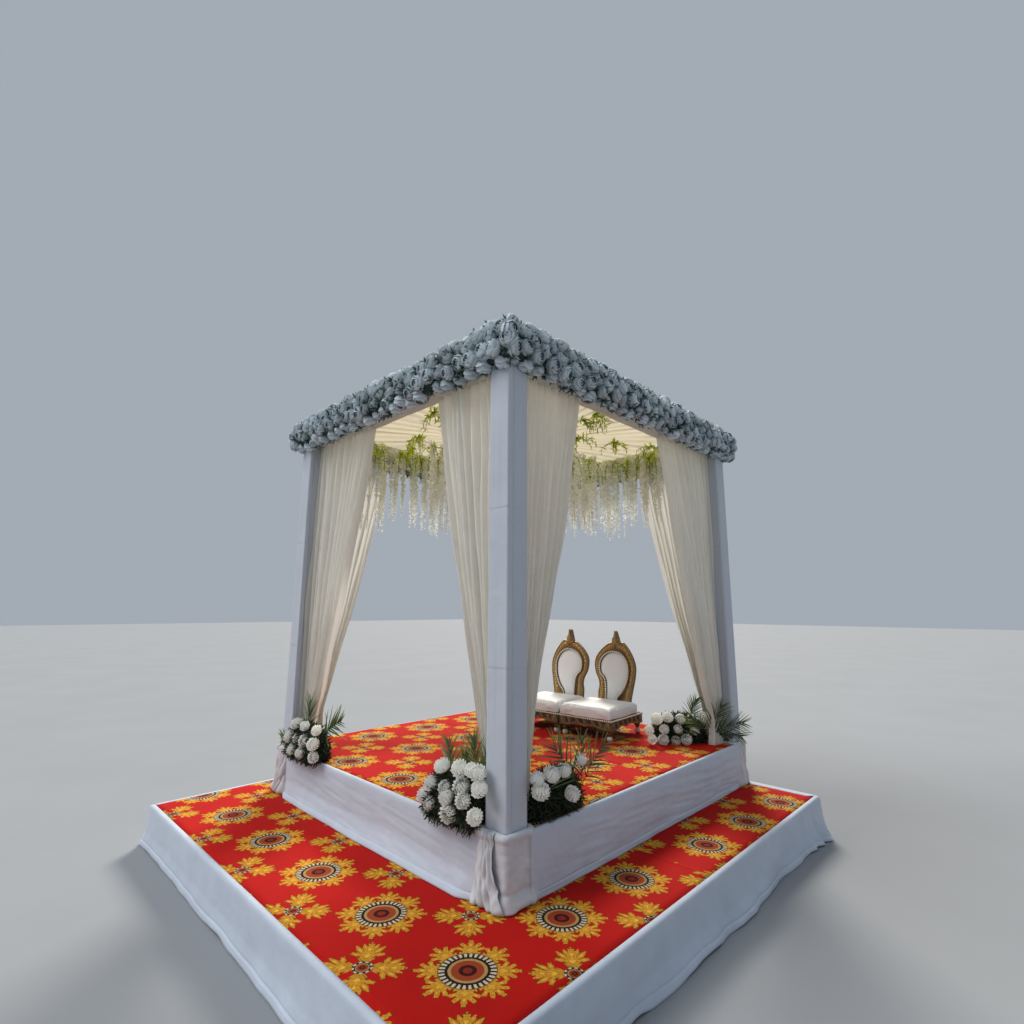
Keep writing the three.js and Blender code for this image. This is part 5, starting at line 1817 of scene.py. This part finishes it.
            # Painted shade: the rails' tones stay low, as under the cushion, besides the glaze in the
            # carving's hollows
            tone = 0.06 + 0.42 * np.clip(face * scroll + (deep < 0.002), 0, 1)
            grid = grid_of(x, y, low + (RAIL_TOP - low) * rise)
            rail = Shape().add_closed(np.swapaxes(grid, 0, 1), tone.T)
            shape.add_shape(rail, turned(90 * turn))
        heights = (RAIL_TOP - 0.024, RAIL_TOP - 0.001)
        # The board's low tone is painted shade under the cushion
        shape.add_shape(box_shape(SEAT_WIDTH / 2 - 0.02, SEAT_DEPTH / 2 - 0.02, heights, 0.1))
        return shape

    def legs(self):
        """Turned legs over the ball feet, with a square block at the top."""
        shape = Shape()
        for leg in self.leg_places():
            # The legs' and blocks' low tones are painted shade under the seat
            shape.add_shape(lathe_shape(LEG, 24, 0.25), Matrix.Translation(leg))
            block = box_shape(LEG_INSET - 0.001, LEG_INSET - 0.001, (0.082, 0.086, RAIL_TOP - 0.002), 0.2)
            shape.add_shape(block, Matrix.Translation(leg))
        return shape

    def bead_lines(self, place, mirror):
        """Beads round the back pad and along the rails under the cushion."""
        angles = np.linspace(-pi, pi, 420)
        inner = self.edge_radius(PAD, mirror, angles)[:, None] + self.bead_gap
        flat = BACK_CENTRE * (mirror, 1) + ways(angles) * inner
        ring = stood_up(flat, np.full(len(flat), self.bead_depth))[flat[:, 1] > self.lowest_bead]
        start = int(np.argmax(np.linalg.norm(np.diff(ring, axis=0), axis=1))) + 1
        x, y, z = SEAT_WIDTH / 2 - 0.002, SEAT_DEPTH / 2 - 0.002, RAIL_TOP - 0.007
        edge = [(-x, y, z), (-x, -y, z), (x, -y, z), (x, y, z)]
        return [[tuple(place @ Vector(p)) for p in line] for line in (np.roll(ring, -start, 0), edge)]


class MANDAP_OT_cushions(PieceOperator, Operator):
    """Padded seat cushions and back pads"""

    bl_idname = "mandap.cushions"
    bl_label = "Cushions and back pads"

    frames = 20
    voxel = 0.006
    pressure = 4.0
    cap = 0.013

    def execute(self, context):
        leather = white_leather(context.scene.mandap_seats)
        cushion = self.cushion_block()
        self.inflate(context.scene, cushion)
        for side, (_, mirror) in SEAT_PLACES.items():
            piece = add_object(f"seat_cushion_{side}_padded", cushion.data.copy())
            set_values(piece.modifiers.new("Smooth", "SUBSURF"), levels=1, render_levels=1)
            pad = self.back_pad(mirror).make(f"seat_back_pad_{side}_padded")
            for soft, node, fill in ((piece, "seat_cushion", 0.85), (pad, "seat_back_pad", 0.8)):
                soft.data.transform(seat_matrix(side))
                place_piece(soft, leather, "white_leather", f"{node}_{side}")
        bpy.data.objects.remove(cushion)
        return {"FINISHED"}

    @staticmethod
    def cushion_block():
        """A boxed cushion before it is filled."""
        low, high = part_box("seat_cushion_right")
        thick = high.z - low.z - 0.012
        half_x, half_y = SEAT_WIDTH / 2 + 0.005, CUSHION_DEPTH / 2 + 0.002
        middle_y = (CUSHION_DEPTH - SEAT_DEPTH) / 2 - 0.012
        u = np.sin(np.linspace(-pi / 2, pi / 2, 27))[None]
        v = np.sin(np.linspace(-pi / 2, pi / 2, 23))[:, None]
        pull = 1 - 0.035 * (u * v) ** 2
        x, y = half_x * u * pull, middle_y + half_y * v * pull
        crown = (1 - u ** 6) ** 0.35 * (1 - v ** 6) ** 0.35
        base = RAIL_TOP + 0.5 * MM
        shape = Shape()
        upper = shape.add_grid(grid_of(x, y, base + thick * (0.80 + 0.20 * crown))).last
        lower = shape.add_grid(grid_of(x, y, base), flip=True).last
        rims = []
        for index in (upper, lower):
            rim = np.concatenate([index[0], index[1:, -1], index[-1, -2::-1], index[-2:0:-1, 0]])
            rims.append(rim.tolist())
        top, bottom = rims
        shape.faces += [[top[i - 1], bottom[i - 1], bottom[i], top[i]] for i in range(len(top))]
        return shape.make("cushion_block")

    def inflate(self, scene, piece):
        """Fills a cushion: cloth under pressure, no point moved further than the cap."""
        set_values(piece.modifiers.new("Remesh", "REMESH"), mode="VOXEL", voxel_size=self.voxel)
        bake(piece)
        start = np.array([v.co for v in piece.data.vertices])
        blown = piece.modifiers.new("Cloth", "CLOTH").settings
        blown.effector_weights.gravity = 0
        set_values(blown, use_pressure=True, uniform_pressure_force=self.pressure, mass=0.4,
                   tension_stiffness=20, bending_stiffness=2.0)
        for number in range(1, self.frames + 1):
            scene.frame_set(number)
        bake(piece)
        scene.frame_set(1)
        moved = np.array([v.co for v in piece.data.vertices]) - start
        length = np.linalg.norm(moved, axis=1)[:, None]
        kept = start + moved * np.minimum(1, self.cap / np.maximum(length, 1e-9))
        kept[:, 2] = np.maximum(kept[:, 2], RAIL_TOP + MM)
        piece.data.vertices.foreach_set("co", kept.astype(np.float32).ravel())
        piece.data.shade_smooth()
        piece.data.update()

    @staticmethod
    def back_pad(mirror):
        """The pad in the back's opening, crowned to both sides."""
        outline, _ = resampled(smooth_outline(PAD, mirror, 10), 150, closed=True)
        centre = BACK_CENTRE * (mirror, 1)
        shares = [0.998, 0.990, 0.972, 0.94, 0.89, 0.82, 0.72, 0.58, 0.42, 0.24, 0.08]
        rear = [(s, 0.010 - 0.008 * (1 - s ** 4) ** 0.5) for s in reversed(shares)]
        front = [(s, 0.030 + 0.022 * (1 - s ** 3.5) ** 0.55) for s in shares]
        rings = []
        for share, depth in [*rear, (0.9985, 0.020), *front]:
            flat = centre + (outline - centre) * share
            rings.append(stood_up(flat, np.full(len(flat), depth)))
        return Shape().add_closed(np.array(rings), 0.5)


class MANDAP_PT_panel(Panel):
    """Lists the mandap's sizes, colours and pieces"""

    bl_idname = "MANDAP_PT_panel"
    bl_label = "Wedding Mandap"
    bl_space_type = "VIEW_3D"
    bl_region_type = "UI"
    bl_category = "Mandap"

    def draw(self, context):
        for group in GROUPS:
            values = getattr(context.scene, group)
            box = self.layout.box()
            for name in values.bl_rna.properties.keys():
                if name not in ("rna_type", "name"):
                    box.prop(values, name)
        for operator in OPERATORS:
            self.layout.operator(operator.bl_idname)


GROUPS = {"mandap_cloth": MandapCloth, "mandap_flowers": MandapFlowers, "mandap_seats": MandapSeats}
OPERATORS = (
    MANDAP_OT_stage, MANDAP_OT_decks, MANDAP_OT_skirts, MANDAP_OT_columns, MANDAP_OT_canopy,
    MANDAP_OT_curtains, MANDAP_OT_garlands, MANDAP_OT_hanging, MANDAP_OT_bouquets, MANDAP_OT_seats,
    MANDAP_OT_cushions,
)
CLASSES = (*GROUPS.values(), *OPERATORS, MANDAP_PT_panel)


def register():
    for kind in CLASSES:
        bpy.utils.register_class(kind)
    for name, group in GROUPS.items():
        setattr(bpy.types.Scene, name, PointerProperty(type=group))


def unregister():
    for name in GROUPS:
        delattr(bpy.types.Scene, name)
    for kind in reversed(CLASSES):
        bpy.utils.unregister_class(kind)


def main():
    register()
    for operator in OPERATORS:
        getattr(bpy.ops.mandap, operator.bl_idname.split(".")[1])()


if __name__ == "__main__":
    main()
